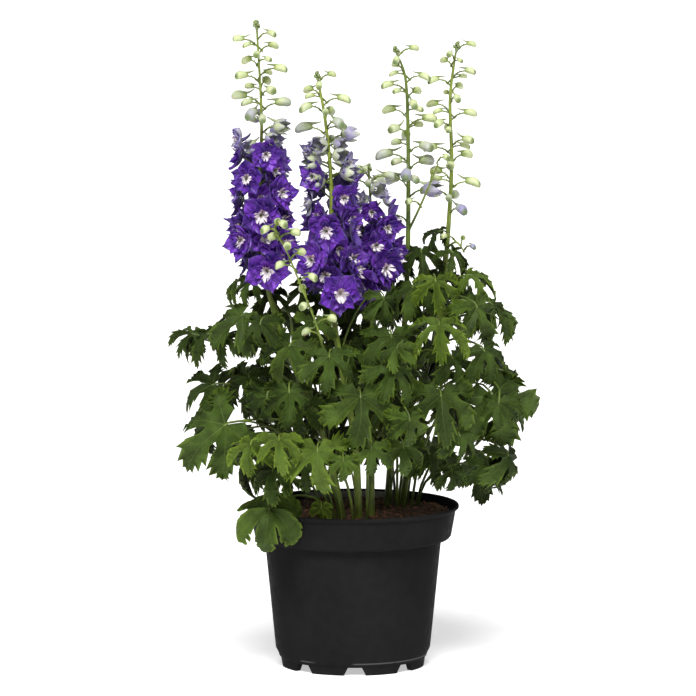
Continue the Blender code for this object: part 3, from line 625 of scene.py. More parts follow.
spikes = {
    "left": {
        "low": 437, "high": 562, "count": 15, "first": 45, "stand": 23.3,
        "shown": [(440.6, 5, 26, 25), (470, -58, 22, 24), (466, 70, 21, 23), (499, 2, 24, 25),
                  (522, 58, 21, 24), (538.6, -36, 20, 22), (563.6, 18, 19, 18), (515, 8, 18, 11),
                  (473, 8, 21, 13), (452, 62, 20, 17), (545, 62, 16, 14), (484, -78, 20, 21),
                  (492, 82, 18, 20)],
        "young": [(577, -78, 16, 22), (577, 122, 16, 15)],
    },
    "front": {
        "low": 414, "high": 538, "count": 16, "first": 9, "stand": 22.8,
        "shown": [(415.5, 20, 25, 23), (450, -50, 23, 25), (452, 62, 20, 22), (483.5, -14, 24, 23),
                  (517, 34, 19, 20), (538.6, -48, 18, 22), (462, 30, 18, 12), (433, -22, 20, 13),
                  (496, -55, 17, 15), (493, 78, 16, 19), (434, -82, 20, 20)],
        "young": [(510, -80, 15, 22), (551, 70, 16, 19), (563, -74, 14, 20)],
    },
    "middle": {
        "low": 412, "high": 496, "count": 10, "first": 18, "stand": 22.3,
        "shown": [(414.4, -27, 24, 24), (436.3, 33, 25, 23), (457, -62, 21, 25), (459.3, 8, 21, 22),
                  (484.5, -60, 18, 23), (478.7, 45, 18, 22), (496.5, 0, 14, 16), (447, 40, 18, 12),
                  (470, 12, 17, 12), (424, 0, 19, 12), (452, 85, 19, 22)],
        "young": [(507, -40, 12, 14), (509, 110, 13, 14)],
    },
}
# Petals in whorls: how many, the first one's place, reach, and how far their foot and their curve rise
sepal = {
    "columns": 8, "rows": 6, "thickness": 0.35, "whorls": [(5, 0.5, 1, 0, 0.2)],
    "swing": (-6, 6), "spread": (0.95, 1.06), "sway": (-0.06, 0.12), "tones": (-0.3, 0.3),
    "width": [(0, 0.1), (0.2, 0.18), (0.45, 0.36), (0.66, 0.42), (0.84, 0.28), (1, 0.03)],
}
innerPetal = {
    "columns": 4, "rows": 5, "thickness": 0.3, "whorls": [(5, 0, 0.8, 1.0, 0.42), (6, 0, 0.58, 2.0, 0.62)],
    "swing": (-9, 9), "spread": (0.85, 1.06), "sway": (-0.1, 0.06), "tones": (-0.3, 0.5),
    "width": [(0, 0.08), (0.3, 0.2), (0.6, 0.31), (0.85, 0.24), (1, 0.06)],
}
beePetal = {
    "columns": 4, "rows": 4, "thickness": 0.3, "foot": (2.4, 3.8), "rise": (0.55, 0.7), "cleft": 0.6,
    "swing": (-14, 14), "spread": (0.8, 1.15), "sway": (-0.2, 0.2), "tones": (-0.3, 0.2),
    "width": [(0, 0.16), (0.4, 0.26), (0.75, 0.4), (1, 0.22)],
    # Where each stands round the eye, its length and tone: brownish above, partly the petals' own colour and
    # partly painted shade, white at the sides and below
    "places": [(24, 0.24, -0.7), (338, 0.26, -0.7), (82, 0.3, 0.2), (274, 0.32, 0.3), (130, 0.3, 0.5),
               (170, 0.36, 0.6), (212, 0.33, 0.5)],
}
ruffle = {"phase": (0, 6), "wave": (0.7, 1.3), "curl": (-0.1, 0.16), "cup": (-0.1, 0.34),
          "tip": (-0.07, 0.07)}
hairs = {"count": 9, "foot": 2.5, "turn": (0, 6.28), "lean": (0.2, 0.6), "length": (3.5, 6),
         "radii": (0.35, 0.3, 0.5), "tone": -0.9}
# The spur behind a floret: how far back and up its route goes, its steps and its radii
spur = {"route": [(0.5, 0), (5, 2.4), (8.6, 5.4), (10, 8)], "steps": 5, "radii": (2.3, 0.7), "sides": 7}


def readTable(table, value):
    # Reads a table of (place, value) pairs with straight runs between them.
    for (low, first), (high, second) in zip(table, table[1:]):
        if value <= high:
            return first + (second - first) * ((value - low) / (high - low))
    return table[-1][1]


def addFloret(petals, bees, centre, away, size, spin, tone, draw, sides):
    away = away + Vector([draw.uniform(-0.16, 0.16) for _ in range(3)])
    forward = away.normalized()
    across = forward.cross(up).normalized()
    upright = across.cross(forward)
    turn = spin % 30

    def addPetal(look, degrees, reach, depth, sway, finishes, into, petalTone):
        a = radians(degrees)
        outward = across * sin(a) + upright * cos(a)
        tangent = upright * sin(a) - across * cos(a)
        phase, wave, curl, cup, tip = drawn(draw, ruffle, "phase", "wave", "curl", "cup", "tip")

        def place(i, j):
            x, y = 2 * i / look["columns"] - 1, j / look["rows"]
            width = readTable(look["width"], y)
            cleft = look.get("cleft", 0) * max(0, 1 - abs(x) * 2.2) * y ** 3
            far = reach * (y * (1 - 0.1 * x * x) + 0.03 * sin(7 * x + phase) * y - cleft)
            side = reach * (width * x + tip * y * y)
            r = hypot(far, side) / size
            rise = depth(r) + cup * size * r * r + sway * size * x * y
            rise += 0.085 * wave * size * sin(4.2 * x + phase) * y ** 1.5
            rise += 0.03 * size * sin(9 * x + 3 * phase) * x * x * y
            rise += curl * size * y ** 3 - 0.05 * size * (1 - x * x) * sin(pi * y)
            point = centre + outward * far + tangent * side + forward * rise
            return point, (x * width * 2, y), max(abs(x) ** 3, y ** 4)

        into.append(sheet(look, place, petalTone, finishes))

    for look, finishes in ((sepal, sides), (innerPetal, (sides[0], sides[0]))):
        for count, first, reach, foot, steep in look["whorls"]:
            for k in range(count):
                swing, spread, sway, brighter = drawn(draw, look, "swing", "spread", "sway", "tones")
                addPetal(look, 360 / count * (k + first) + turn + swing, reach * size * spread,
                         lambda r: foot * mm + steep * size * r * r, sway, finishes, petals, tone + brighter)
    for degrees, reach, beeTone in beePetal["places"]:
        look = beePetal
        foot, swing, spread, sway, brighter = drawn(draw, look, "foot", "swing", "spread", "sway", "tones")
        addPetal(look, degrees + swing, reach * size * spread,
                 lambda r: foot * mm + draw.uniform(*look["rise"]) * size * r, sway, (0, 0), bees,
                 beeTone + brighter)
    for _ in range(hairs["count"]):
        a, lean, length = drawn(draw, hairs, "turn", "lean", "length")
        outward = across * sin(a) + upright * (cos(a) + 0.5)
        foot = centre + forward * hairs["foot"] * mm
        tip = foot + (forward + outward * lean).normalized() * length * mm
        bees.append(limb([foot, foot.lerp(tip, 0.8), tip], hairs["radii"], 4, hairs["tone"], 1))
    route = [centre - forward * back * mm + upright * rise * mm for back, rise in spur["route"]]
    petals.append(limb(smoothPath(route, spur["steps"]), spur["radii"], spur["sides"], tone + 0.3, 1))


# Florets by the solids' rule: their step round the stem, their size at the bottom and how much less it is at
# the top, how near to the front they stop, and a smaller one beside each, towards the stem, darker as
# painted shade
floretRule = {"step": 144, "wobble": (-0.08, 0.08), "lean": (-0.08, 0.04), "size": 24, "less": 3,
              "closer": 0.16, "front": 0.25, "tones": (-0.35, 0.25), "beside": (1.15, 1.35), "besideRise": 4,
              "besideFront": 0.4, "besideLean": (-0.2, 0.1), "besideSize": 0.74, "besideReach": 0.72,
              "besidePaintedShade": -0.3}
shownRule = {"facing": 0.7, "lean": (-0.12, 0.08), "tones": (-0.35, 0.3)}
youngRule = {"facing": 1, "lean": (-0.1, 0.3), "tones": (0.3, 0.9)}
# A floret's stalk starts below it on the stem and ends behind and under it.
floretStem = {"below": 15, "behind": 2.1, "under": 4.6, "sag": 0.8, "radii": (1, 1), "sides": 6,
              "tone": -0.4}


def floretStalk(middle, centre, away):
    look = floretStem
    foot = middle - Vector((0, 0, look["below"] * mm))
    back = centre - away * look["behind"] * mm - Vector((0, 0, look["under"] * mm))
    bent = foot.lerp(back, 0.5) - up * look["sag"] * mm
    return limb(smoothPath([foot, bent, back], 4), look["radii"], look["sides"], look["tone"])


def makeSpike(name, stalks):
    spike, path = spikes[name], stemPath(name)
    petals, bees, rule = [], [], floretRule
    draw, own = random.Random(name + " florets"), random.Random(name + " petals")

    def place(height, turn, facing, size, reach, lean, tone, sides=(0, 1)):
        middle = placeOn(path, height)
        centre = middle + outwards(turn) * reach * mm
        away = outwards(facing, lean).normalized()
        addFloret(petals, bees, centre, away, size * mm, own.uniform(0, 30), tone, own, sides)
        stalks.append(floretStalk(middle, centre, away))

    for k in range(spike["count"]):
        share = k / (spike["count"] - 1)
        height = spike["low"] + (spike["high"] - spike["low"]) * share
        wobble, lean = drawn(draw, rule, "wobble", "lean")
        turn = radians(spike["first"]) + radians(rule["step"]) * k + wobble
        if cos(turn) > rule["front"]:
            continue
        size, reach = rule["size"] - rule["less"] * share, spike["stand"] * (1 - rule["closer"] * share)
        tone = own.uniform(*rule["tones"])
        place(height, turn, turn, size, reach, lean, tone)
        beside = turn + own.uniform(*rule["beside"])
        if cos(beside) < rule["besideFront"] and k % 3 < 2:
            size, reach = rule["besideSize"] * size, rule["besideReach"] * spike["stand"]
            height, lean = height + rule["besideRise"], own.uniform(*rule["besideLean"])
            # The smaller ones get a darker tone: painted shade near the stem
            place(height, beside, beside, size, reach, lean, rule["besidePaintedShade"])
    for rows, look, sides in ((spike["shown"], shownRule, (0, 1)), (spike["young"], youngRule, (2, 2))):
        for height, degrees, size, reach in rows:
            turn, (lean, tone) = radians(degrees), drawn(own, look, "lean", "tones")
            place(height, turn, look["facing"] * turn, size, reach, lean, tone, sides)
    node = "flowers_" + name
    finishPiece(node + "_petals", petals, ["petal", "petalBack", "bell"], [node])
    finishPiece(node + "_bees", bees, ["bee", "beeDark"], [node])


# Buds: lowest and highest, how many, first turn, the lowest one's size, how many have a violet blush, how
# many of the lowest are half open, and more half-open ones close to the stem, just above the open florets
# (height, turn, size)

budSpikes = {
    "left": {"low": 583, "high": 692, "count": 15, "first": 60, "size": 1.3, "blush": 5, "bells": 2,
             "near": [(562, -34, 1.2), (570, 40, 1.1)]},
    "front": {"low": 556, "high": 638, "count": 11, "first": 200, "size": 1.5, "blush": 7, "bells": 3,
              "near": [(552, 34, 1.35), (545, -62, 1.5), (565, 44, 1.15), (533, 66, 1.5), (560, -52, 1.3),
                       (524, -48, 1.4)]},
    "middle": {"low": 510, "high": 534, "count": 6, "first": 20, "size": 1.3, "blush": 6, "bells": 2},
    "right": {"low": 506, "high": 660, "count": 17, "first": 80, "size": 1.45, "blush": 8, "bells": 1},
    "far_right": {"low": 486, "high": 664, "count": 20, "first": 30, "size": 1.2, "blush": 3, "bells": 0},
}
shootBuds = {"front": {"count": 13, "size": 0.78, "blush": 0, "plump": 1.5},
             "right": {"count": 3, "size": 0.62, "blush": 0, "plump": 1.6},
             "far_right": {"count": 3, "size": 0.62, "blush": 1, "plump": 1.3}}
budForm = {"length": 13, "radius": 4, "reach": 15, "top": 0.78, "plump": 1.18, "blush": (0.5, 0.95),
           "bract": (0.45, 0.5, 0.15), "crown": (0.6, 1.4, 2.0, 1.6, 0.5), "crownCount": 7}
bell = {"columns": 8, "rows": 8, "thickness": 0.4, "longer": 1.06, "wider": 1.5,
        "turn": (-8, 8), "sway": (-0.1, 0.1), "flare": (-0.1, 0.35), "tones": (-0.5, 0.35),
        "open": [(0, 0.3), (0.18, 0.8), (0.42, 1.04), (0.72, 1.02), (1, 0.72)]}


def budNeck(centre, level, size):
    reach = budForm["reach"] * (0.7 + 0.3 * size) * mm
    return centre + level * reach + up * 0.62 * reach


def clearTurn(centre, turn, size, corners):
    # The way that the solid's bud heads: the first try whose tip is a corner of the solid.
    for n in range(24):
        level = outwards(turn + radians(9) * ((n + 1) // 2) * (-1) ** n)
        tip = budNeck(centre, level, size) + level * 1.05 * budForm["length"] * size * mm
        if corners.find(tip)[2] < 0.05 * mm:
            return level
    return outwards(turn)


def budStalk(centre, neck, level, radius, stalks):
    # It rises steeply from the stem and bends over, with a hair-thin bract at its foot and one half way.
    bent = centre.lerp(neck, 0.5) - level * 1.3 * mm + up * 1.9 * mm
    route = smoothPath([centre, bent, neck], 6)
    stalks.append(limb(route, (radius, 0.85 * radius), 6, 0.3))
    bracts = ((route[1], level * 0.8 + up * 0.5, 6), (route[4], up + level.cross(up) * 0.8, 3.5))
    for foot, way, length in bracts:
        tip = foot + way.normalized() * length * mm
        stalks.append(limb([foot, foot.lerp(tip, 0.6) - up * 0.5 * mm, tip], budForm["bract"], 4, 0.2))


def addBud(centre, level, size, blush, buds, stalks, draw, plump=budForm["plump"]):
    length = (plump if plump < 1.3 else 1.1) * budForm["length"] * size * mm
    radius = plump * budForm["radius"] * size * mm
    side, neck, nod = level.cross(up), budNeck(centre, level, size), draw.uniform(0.0, 0.3)
    shape, uv, toneLayer, marginLayer = newShape()
    bmesh.ops.create_uvsphere(shape, u_segments=15, v_segments=10, radius=1)
    maps = {}
    for corner in shape.verts:
        share, turn = (corner.co.z + 1) / 2, atan2(corner.co.y, corner.co.x)
        wide = hypot(corner.co.x, corner.co.y) ** 0.68 * (1 + 0.06 * cos(5 * turn)) * (0.74 + 0.34 * share)
        drop = up * nod * length * share ** 1.6
        middle = neck + level * length * share - drop + up * 0.08 * length * sin(pi * share)
        corner.co = middle + radius * wide * (side * cos(turn) + up * sin(turn))
        corner[toneLayer], corner[marginLayer] = blush, share
        maps[corner] = (abs(sin(2.5 * turn)), share)
    mapFaces(shape, uv, maps)
    route = [neck + level * 0.3 * length + up * 0.6 * radius,
             neck + up * 0.7 * radius - level * 0.1 * length,
             neck - level * 0.5 * length + up * draw.uniform(0.2, 0.5) * length]
    buds += [shape, limb(smoothPath(route, 4), (1.7 * size, 0.4 * size), 6, blush)]
    budStalk(centre, neck + level * 0.1 * length, level, 0.95, stalks)


def addBell(centre, level, size, bells, stalks, draw):
    # A half-open floret: five broad sepals round the bud's axis, whose tips only begin to part.
    length = budForm["length"] * size * bell["longer"] * mm
    radius = budForm["radius"] * size * bell["wider"] * mm
    side, neck = level.cross(up), budNeck(centre, level, size)
    for k in range(5):
        turn, sway, flare, tone = drawn(draw, bell, "turn", "sway", "flare", "tones")
        middle = radians(72 * k + turn)

        def place(i, j):
            x, y = 2 * i / bell["columns"] - 1, j / bell["rows"]
            turn = middle - x * 0.85 * (1 - 0.5 * y ** 3) + sway * y
            out = radius * (readTable(bell["open"], y) + flare * y ** 4) * (1 + 0.08 * cos(3 * x) * y)
            far = length * y * (1 - 0.22 * x * x) - 0.05 * length
            point = neck + level * far + out * (side * cos(turn) + up * sin(turn))
            return point, (x, 0.2 + 0.8 * y), max(abs(x) ** 3, y ** 4)

        bells.append(sheet(bell, place, tone, (0, 0)))
    route = [neck + level * 0.3 * length + up * 0.6 * radius, neck + up * 0.3 * length,
             neck - level * 0.5 * length + up * 0.5 * length]
    bells.append(limb(smoothPath(route, 4), (1.9 * size, 0.5 * size), 7, 0.1))
    budStalk(centre, neck + level * 0.1 * length, level, 1.1, stalks)


def crownBuds(path, buds):
    # The tuft of young buds at the very tip of the stem
    tip, rising = path[-1], (path[-1] - path[-2]).normalized()
    for k in range(budForm["crownCount"]):
        foot = tip + rising * (1.2 * k - 2) * mm
        end = foot + (outwards(goldenTurn * k) + up * (0.5 + 0.2 * k)).normalized() * (6 - 0.4 * k) * mm
        buds.append(limb(smoothPath([foot, foot.lerp(end, 0.6), end], 4), budForm["crown"], 7, 0))


def makeBuds(name, stalks):
    look, path = budSpikes[name], stemPath(name)
    corners = cornersOf("stem_" + name)
    draw, buds, bells = random.Random(name + " buds"), [], []
    for k in range(look["count"]):
        share = k / (look["count"] - 1)
        centre = placeOn(path, look["low"] + (look["high"] - look["low"]) * share)
        size = look["size"] + (budForm["top"] - look["size"]) * share
        turn = radians(look["first"]) + goldenTurn * k
        level = clearTurn(centre, turn, size, corners)
        blush = max(0, 1 - k / look["blush"]) * draw.uniform(*budForm["blush"])
        if k < look["bells"]:
            addBell(centre, level, size, bells, stalks, draw)
        else:
            addBud(centre, level, size, blush, buds, stalks, draw)
        if k % 2 and k < look["count"] - 2:
            # A young bud close to the stem, on its other side
            level = outwards(turn + draw.uniform(2.6, 3.6))
            heel = centre + up * 3 * mm - level * 5 * mm
            addBud(heel, level, 0.72 * size, 0.4 * blush, buds, stalks, draw)
    for height, degrees, size in look.get("near", ()):
        level = outwards(radians(degrees))
        addBell(placeOn(path, height) - level * 5 * mm, level, size, bells, stalks, draw)
    crownBuds(path, buds)
    for path in shootPaths(name, 6):
        shoot = shootBuds[name]
        for k in range(shoot["count"]):
            place = 6 * (1 - 0.6 * (k / (shoot["count"] - 1)) ** 1.5)
            low = min(int(place), 5)
            centre = path[low].lerp(path[low + 1], place - low)
            level = clearTurn(centre, goldenTurn * k + 0.6, shoot["size"], corners)
            blush = draw.uniform(0.5, 0.9) if k < shoot["blush"] else 0
            addBud(centre - level * 3 * mm, level, shoot["size"], blush, buds, stalks, draw, shoot["plump"])
    finishPiece("buds_" + name, buds, ["bud"], ["stem_" + name])
    if bells:
        finishPiece("bells_" + name, bells, ["bell"], ["stem_" + name])


# Leaves. Each row: the blade's stalk end, the middle lobe's length, heading and dip, the blade's turn to the
# front, the depth of its cuts, and where the stalk starts: a height on the stem or a place on the peat

stemLeaves = {
    "left": [
        (-156, -34, 366, 44, -88, 8, 20, 0.9, 305), (-119, -62, 390, 50, -62, 25, 30, 0.4, 325),
        (-122, -14, 424, 32, -75, 35, 0, 0.8, 366), (-86, -88, 392, 36, -20, 70, 0, 0.5, 352),
        (-68, -100, 361, 48, -50, 45, 30, 0.5, 285), (-84, -120, 326, 40, 15, 55, 0, 0.6, 245),
        (-104, -104, 320, 44, -15, 68, 0, 0.6, 262), (-150, -48, 326, 42, -85, 25, 50, 0.5, 268),
        (-118, 38, 318, 50, -122, 38, -20, 0.5, 276), (-78, 60, 372, 44, -155, 42, 0, 0.6, 336),
        (-134, 18, 250, 48, -108, 48, 0, 0.5, 226), (-40, 26, 340, 40, 160, 30, 0, 0.5, 290),
        (-92, 88, 296, 50, -145, 45, 0, 0.5, 240), (-56, -84, 296, 37, -10, 52, 0, 0.5, 236),
    ],
    "front": [
        (-29, -128, 354, 46, -5, 52, 0, 0.6, 290), (8, -142, 313, 58, 6, 58, 0, 0.5, 232),
        (-46, -92, 388, 32, 5, 60, 0, 0.5, 338), (20, -72, 392, 30, 10, 65, 0, 0.5, 340),
    ],
    "middle": [
        (41, -92, 371, 46, 5, 48, 0, 0.5, 300), (46, -112, 337, 46, 48, 35, 20, 0.6, 250),
        (36, -44, 404, 26, 15, 60, 0, 0.6, 350), (4, 92, 318, 52, -178, 40, 0, 0.5, 262),
        (-14, 126, 268, 50, -172, 50, 0, 0.5, 222), (-48, 84, 345, 48, -148, 35, 0, 0.6, 290),
        (14, 40, 384, 42, 175, 35, 0, 0.5, 330), (-6, -22, 352, 40, -5, 48, 0, 0.5, 300),
        (38, -128, 350, 27, -10, 62, 0, 0.6, 285),
    ],
    "right": [
        (94, -112, 310, 55, 10, 52, 0, 0.5, 225), (92, -100, 385, 50, 5, 38, 0, 0.9, 305),
        (63, -137, 282, 36, 8, 55, 0, 0.6, 205), (62, -6, 416, 40, -12, 42, 0, 0.6, 372),
        (106, -80, 342, 42, 40, 45, 0, 0.6, 268), (60, 126, 318, 52, 168, 45, 0, 0.5, 250),
        (96, 104, 380, 50, 150, 38, 0, 0.7, 320), (22, 112, 382, 44, -172, 42, 0, 0.6, 335),
        (40, -62, 290, 37, 0, 50, 0, 0.5, 232),
    ],
    "far_right": [
        (84, -42, 420, 42, 12, 42, 0, 0.9, 372), (128, -2, 426, 42, 85, 8, 20, 0.9, 392),
        (122, -22, 400, 46, 80, 20, 30, 0.6, 350), (133, -54, 392, 46, 60, 52, 20, 0.6, 322),
        (154, 10, 386, 45, 95, 18, 15, 0.95, 340), (140, -66, 353, 42, 55, 45, 25, 0.6, 290),
        (164, -10, 320, 46, 90, 48, 20, 0.7, 262), (148, -86, 290, 34, -20, 60, 0, 0.5, 240),
        (148, 72, 328, 50, 125, 38, 0, 0.5, 280), (122, 96, 262, 50, 142, 48, 0, 0.5, 222),
    ],
}
basalLeaves = [
    (-137, -92, 275, 66, -72, 30, 60, 0.4, (-26, -28)), (-109, -122, 259, 38, -25, 45, 0, 0.5, (-20, -52)),
    (-71, -140, 272, 38, 5, 50, 0, 0.6, (-12, -60)), (-38, -144, 255, 52, 0, 58, 0, 0.5, (0, -64)),
    (-8, -146, 258, 26, 10, 62, 0, 0.6, (4, -54)), (18, -142, 256, 34, 5, 64, 0, 0.5, (15, -60)),
    (-80, -90, 193, 50, -10, 46, 0, 0.2, (-28, -46)), (-114, -40, 232, 46, -70, 66, 0, 0.5, (-34, -22)),
    (-34, -86, 185, 16, -5, 60, 0, 0.2, (-30, -68)), (150, -68, 303, 63, 66, 64, 50, 0.3, (64, 36)),
    (168, -44, 236, 48, 60, 72, 0, 0.5, (70, 46)), (128, 24, 224, 48, 95, 28, -50, 0.2, (72, 58)),
    (50, -124, 253, 34, 15, 60, 0, 0.2, (48, 28)), (114, -104, 266, 34, 30, 55, 0, 0.4, (56, 26)),
    (-66, 112, 238, 52, -155, 48, 0, 0.5, (-14, -8)), (34, 140, 248, 52, 176, 46, 0, 0.5, (46, 68)),
    (86, 124, 224, 48, 150, 50, 0, 0.5, (60, 72)), (82, -62, 240, 36, 30, 48, 0, 0.5, (50, 36)),
    (-86, -104, 228, 36, -10, 50, 0, 0.4, (-24, -50)), (-50, -100, 232, 32, -8, 50, 0, 0.5, (-16, -46)),
]
# Tones, from dark (-1) to young and bright (1), of the leaves that the photo shows brighter or darker than
# the others, by the row's first two numbers
leafTones = {
    (92, -100): 0.8, (84, -42): 0.6, (-109, -122): 0.4, (-71, -140): 0.45, (-38, -144): 0.5,
    (63, -137): 0.4, (-8, -146): 0.35, (18, -142): 0.4, (-156, -34): -0.5, (154, 10): -0.3,
    (168, -44): -0.5, (128, 24): -0.5, (-114, -40): -0.6, (94, -112): 0.3, (8, -142): 0.15,
    (-86, -104): -0.4, (-50, -100): -0.5, (82, -62): -0.4, (-34, -86): 0.8, (40, -62): -0.5,
    (-56, -84): -0.5, (62, -6): 0.3, (128, -2): 0.25,
}
roundLeaves = ((-80, -90), (-34, -86))
lobes = {
    "axes": (-112, -55, 0, 55, 112), "lengths": (0.68, 0.92, 1.0, 0.92, 0.68),
    "edges": (-152, -83, -27.5, 27.5, 83, 152), "blade": 0.9, "scale": 1.2,
    # Half a lobe from the notch beside it to its tip: place along it, half width, and a tooth's sweep
    "teeth": [(0.12, 0.1, 0), (0.28, 0.23, 0.09), (0.33, 0.15, 0), (0.47, 0.28, 0.12), (0.53, 0.145, 0),
              (0.65, 0.2, 0.12), (0.7, 0.09, 0), (0.8, 0.1, 0.08), (0.84, 0.042, 0), (1.0, 0.0, 0)],
    # The same for the rounder leaves low on the plant
    "round": [(0.12, 0.15, 0), (0.26, 0.27, 0.03), (0.34, 0.27, 0.04), (0.39, 0.17, 0), (0.52, 0.31, 0.02),
              (0.61, 0.3, 0.05), (0.66, 0.16, 0), (0.77, 0.25, 0.02), (0.85, 0.21, 0.04), (0.89, 0.1, 0),
              (0.96, 0.09, 0.01), (1.0, 0.0, 0)],
    "webRows": (0, 0.25, 0.5, 0.75), "across": (-1, -0.66, -0.33, 0, 0.33, 0.66, 1), "thickness": 0.45,
    "phase": (0, 6), "sway": (0.7, 1.3), "tones": (-0.45, 0.2), "shades": (-0.2, 0.2), "hang": (-0.35, 0.15),
    "twist": (-0.6, 0.6), "turn": (-0.18, 0.18), "crease": (0.07, 0.17), "weld": 0.02,
}
# The stalk's radius, how much thinner a small leaf's is, and below which length a leaf is small
leafStalk = {"radius": 1.5, "thin": 0.72, "small": 32, "sides": 8, "heel": 4.5, "root": 160, "steps": 10}


def leafFrame(heading, dip, face):
    turn, pitch, lean = (radians(v) for v in (heading, dip, face))
    ahead = Vector((sin(turn) * cos(pitch), -cos(turn) * cos(pitch), -sin(pitch)))
    over = Vector((0, -sin(lean), cos(lean)))
    over = (over - ahead * over.dot(ahead)).normalized()
    return ahead, ahead.cross(over), over


def onBlade(base, axes, size, droop, angle, reach, lift):
    (ahead, across, over), bend = axes, droop * reach
    outward = ahead * cos(angle) + across * sin(angle)
    out = over * cos(bend) + outward * sin(bend)
    flat, drop = sin(bend) / droop, (1 - cos(bend)) / droop
    return base + size * (outward * flat - over * drop) + out * lift


def leafForm(row):
    x, y, z, length, heading, dip, face, cut = row
    size, droop = length * lobes["scale"] * mm, 1 + 0.25 * cut
    return Vector((x, y, z)) * mm, leafFrame(heading, dip, face), size, droop


def settled(row, corners):
    # Finds where the solid's leaf came to lie: the seeded try whose lobe tips are corners of the solid.
    draw = random.Random(str(row))
    best, most = row, 0
    for n in range(140):
        step = 0.0 if n == 0 else 1.5 + 0.13 * n
        moves = [draw.uniform(-step, step) for _ in range(5)]
        tried = (row[0] + moves[0], row[1] + moves[1], row[2] + moves[2], row[3],
                 row[4] + moves[3], row[5] + moves[4], row[6], row[7])
        tips = [onBlade(*leafForm(tried), radians(axis), length, lobes["blade"] / 2 * mm)
                for axis, length in zip(lobes["axes"], lobes["lengths"])]
        hits = sum(corners.find(tip)[2] < 0.05 * mm for tip in tips)
        if hits > most:
            best, most = tried, hits
        if most == 5:
            break
    return best, most


def lobeRows(number, cut, rounded, draw):
    # Each row of a lobe: reach, half width on one side and on the other, sweep, slant, as shares of the leaf
    axis, length = lobes["axes"][number], lobes["lengths"][number]
    spans = [radians(abs(lobes["edges"][number + n] - axis)) for n in (0, 1)]
    web = 0.38 if rounded else 0.34 - 0.2 * cut
    free = length * draw.uniform(0.92, 1.1) * (0.92 if rounded else 1) - web
    rows = [(r * web, *(r * web * span for span in spans), 0, 0) for r in (*lobes["webRows"], 1)]
    slant, scale = 0, 0.5 + 0.5 * length
    for place, wide, sweep in lobes["round" if rounded else "teeth"]:
        reach = web + free * min(1, place + (draw.uniform(-0.012, 0.012) if place < 1 else 0))
        if sweep:
            slant = draw.uniform(-0.03, 0.03) * free
        wide *= (1.2 - 0.55 * cut) * scale * (1 if sweep else 1.3 - 0.5 * cut)
        halves = [min(wide * draw.uniform(0.88, 1.1), 0.94 * reach * span) for span in spans]
        sweep *= 1.5 * free * draw.uniform(0.8, 1.2)
        rows.append((reach, *halves, sweep, slant if place < 1 else 0))
    return rows


def leafBlade(row, tone, rounded, draw):
    base, axes, size, droop = leafForm(row)
    phase, sway, brighter = drawn(draw, lobes, "phase", "sway", "tones")
    parts = []
    for number, axis in enumerate(lobes["axes"]):
        outline = lobeRows(number, row[7], rounded, draw)
        shade, hang, twist, turn, crease = drawn(draw, lobes, "shades", "hang", "twist", "turn", "crease")

        def place(i, j):
            r, *halves, sweep, slant = outline[j]
            share = lobes["across"][i]
            wide = share * halves[share > 0]
            r += sweep * abs(share) ** 2.2 + slant * share
            free = max(0, r - 0.3)
            angle = radians(axis) + (wide / r if r > 0 else 0) + turn * free * 2
            fold = crease * (abs(share) ** 1.3 - 0.45) * sin(pi * min(r * 1.1, 1))
            ripple = 0.035 * sway * sin(angle * 6 + phase + 5 * r) * r ** 2
            lift = size * (fold + ripple + hang * free + twist * wide * min(1, free * 3) - 0.25 * free ** 2)
            point = onBlade(base, axes, size, droop, angle, r, lift)
            margin = max(abs(share) ** 2 * min(1, r * 2.2), (r / lobes["lengths"][number]) ** 3)
            return point, (abs(wide), r), margin

        parts.append(openSheet(len(lobes["across"]) - 1, len(outline) - 1, place, tone + brighter + shade))
    blade = joined(parts)
    bmesh.ops.remove_doubles(blade, verts=blade.verts, dist=lobes["weld"] * mm)
    thicken(blade, lobes["thickness"] * mm, (0, 1))
    return blade, tone + brighter


def leafParts(row, start, rooted, tone, rounded=False):
    # A leaf's blade and the stalk that rises from its start and bends over into the blade.
    base, (ahead, _, over) = leafForm(row)[:2]
    blade, tone = leafBlade(row, tone, rounded, random.Random(f"{row[0]:.2f} {row[1]:.2f}"))
    heel = base - ahead * leafStalk["heel"] * mm
    span = (heel - start).length
    leave = start + up * 0.42 * span + (heel - start) * 0.12
    meet = heel - (ahead + over * 0.75).normalized() * 0.3 * span
    path = [Vector((start.x, start.y, leafStalk["root"] * mm))] if rooted else []
    for i in range(leafStalk["steps"] + 1):
        t = i / leafStalk["steps"]
        path.append(start * (1 - t) ** 3 + heel * t ** 3 + (leave * (1 - t) + meet * t) * 3 * t * (1 - t))
    path.append(base + ahead * 2 * mm - over * 0.6 * mm)
    radius = leafStalk["radius"] * (leafStalk["thin"] if row[3] < leafStalk["small"] else 1.0)
    return [blade, limb(path, (1.05 * radius, 0.7 * radius), leafStalk["sides"], 0.5 * tone - 0.1, 2)]


# Small leaves that the solids leave out: rows as above, with the tone last

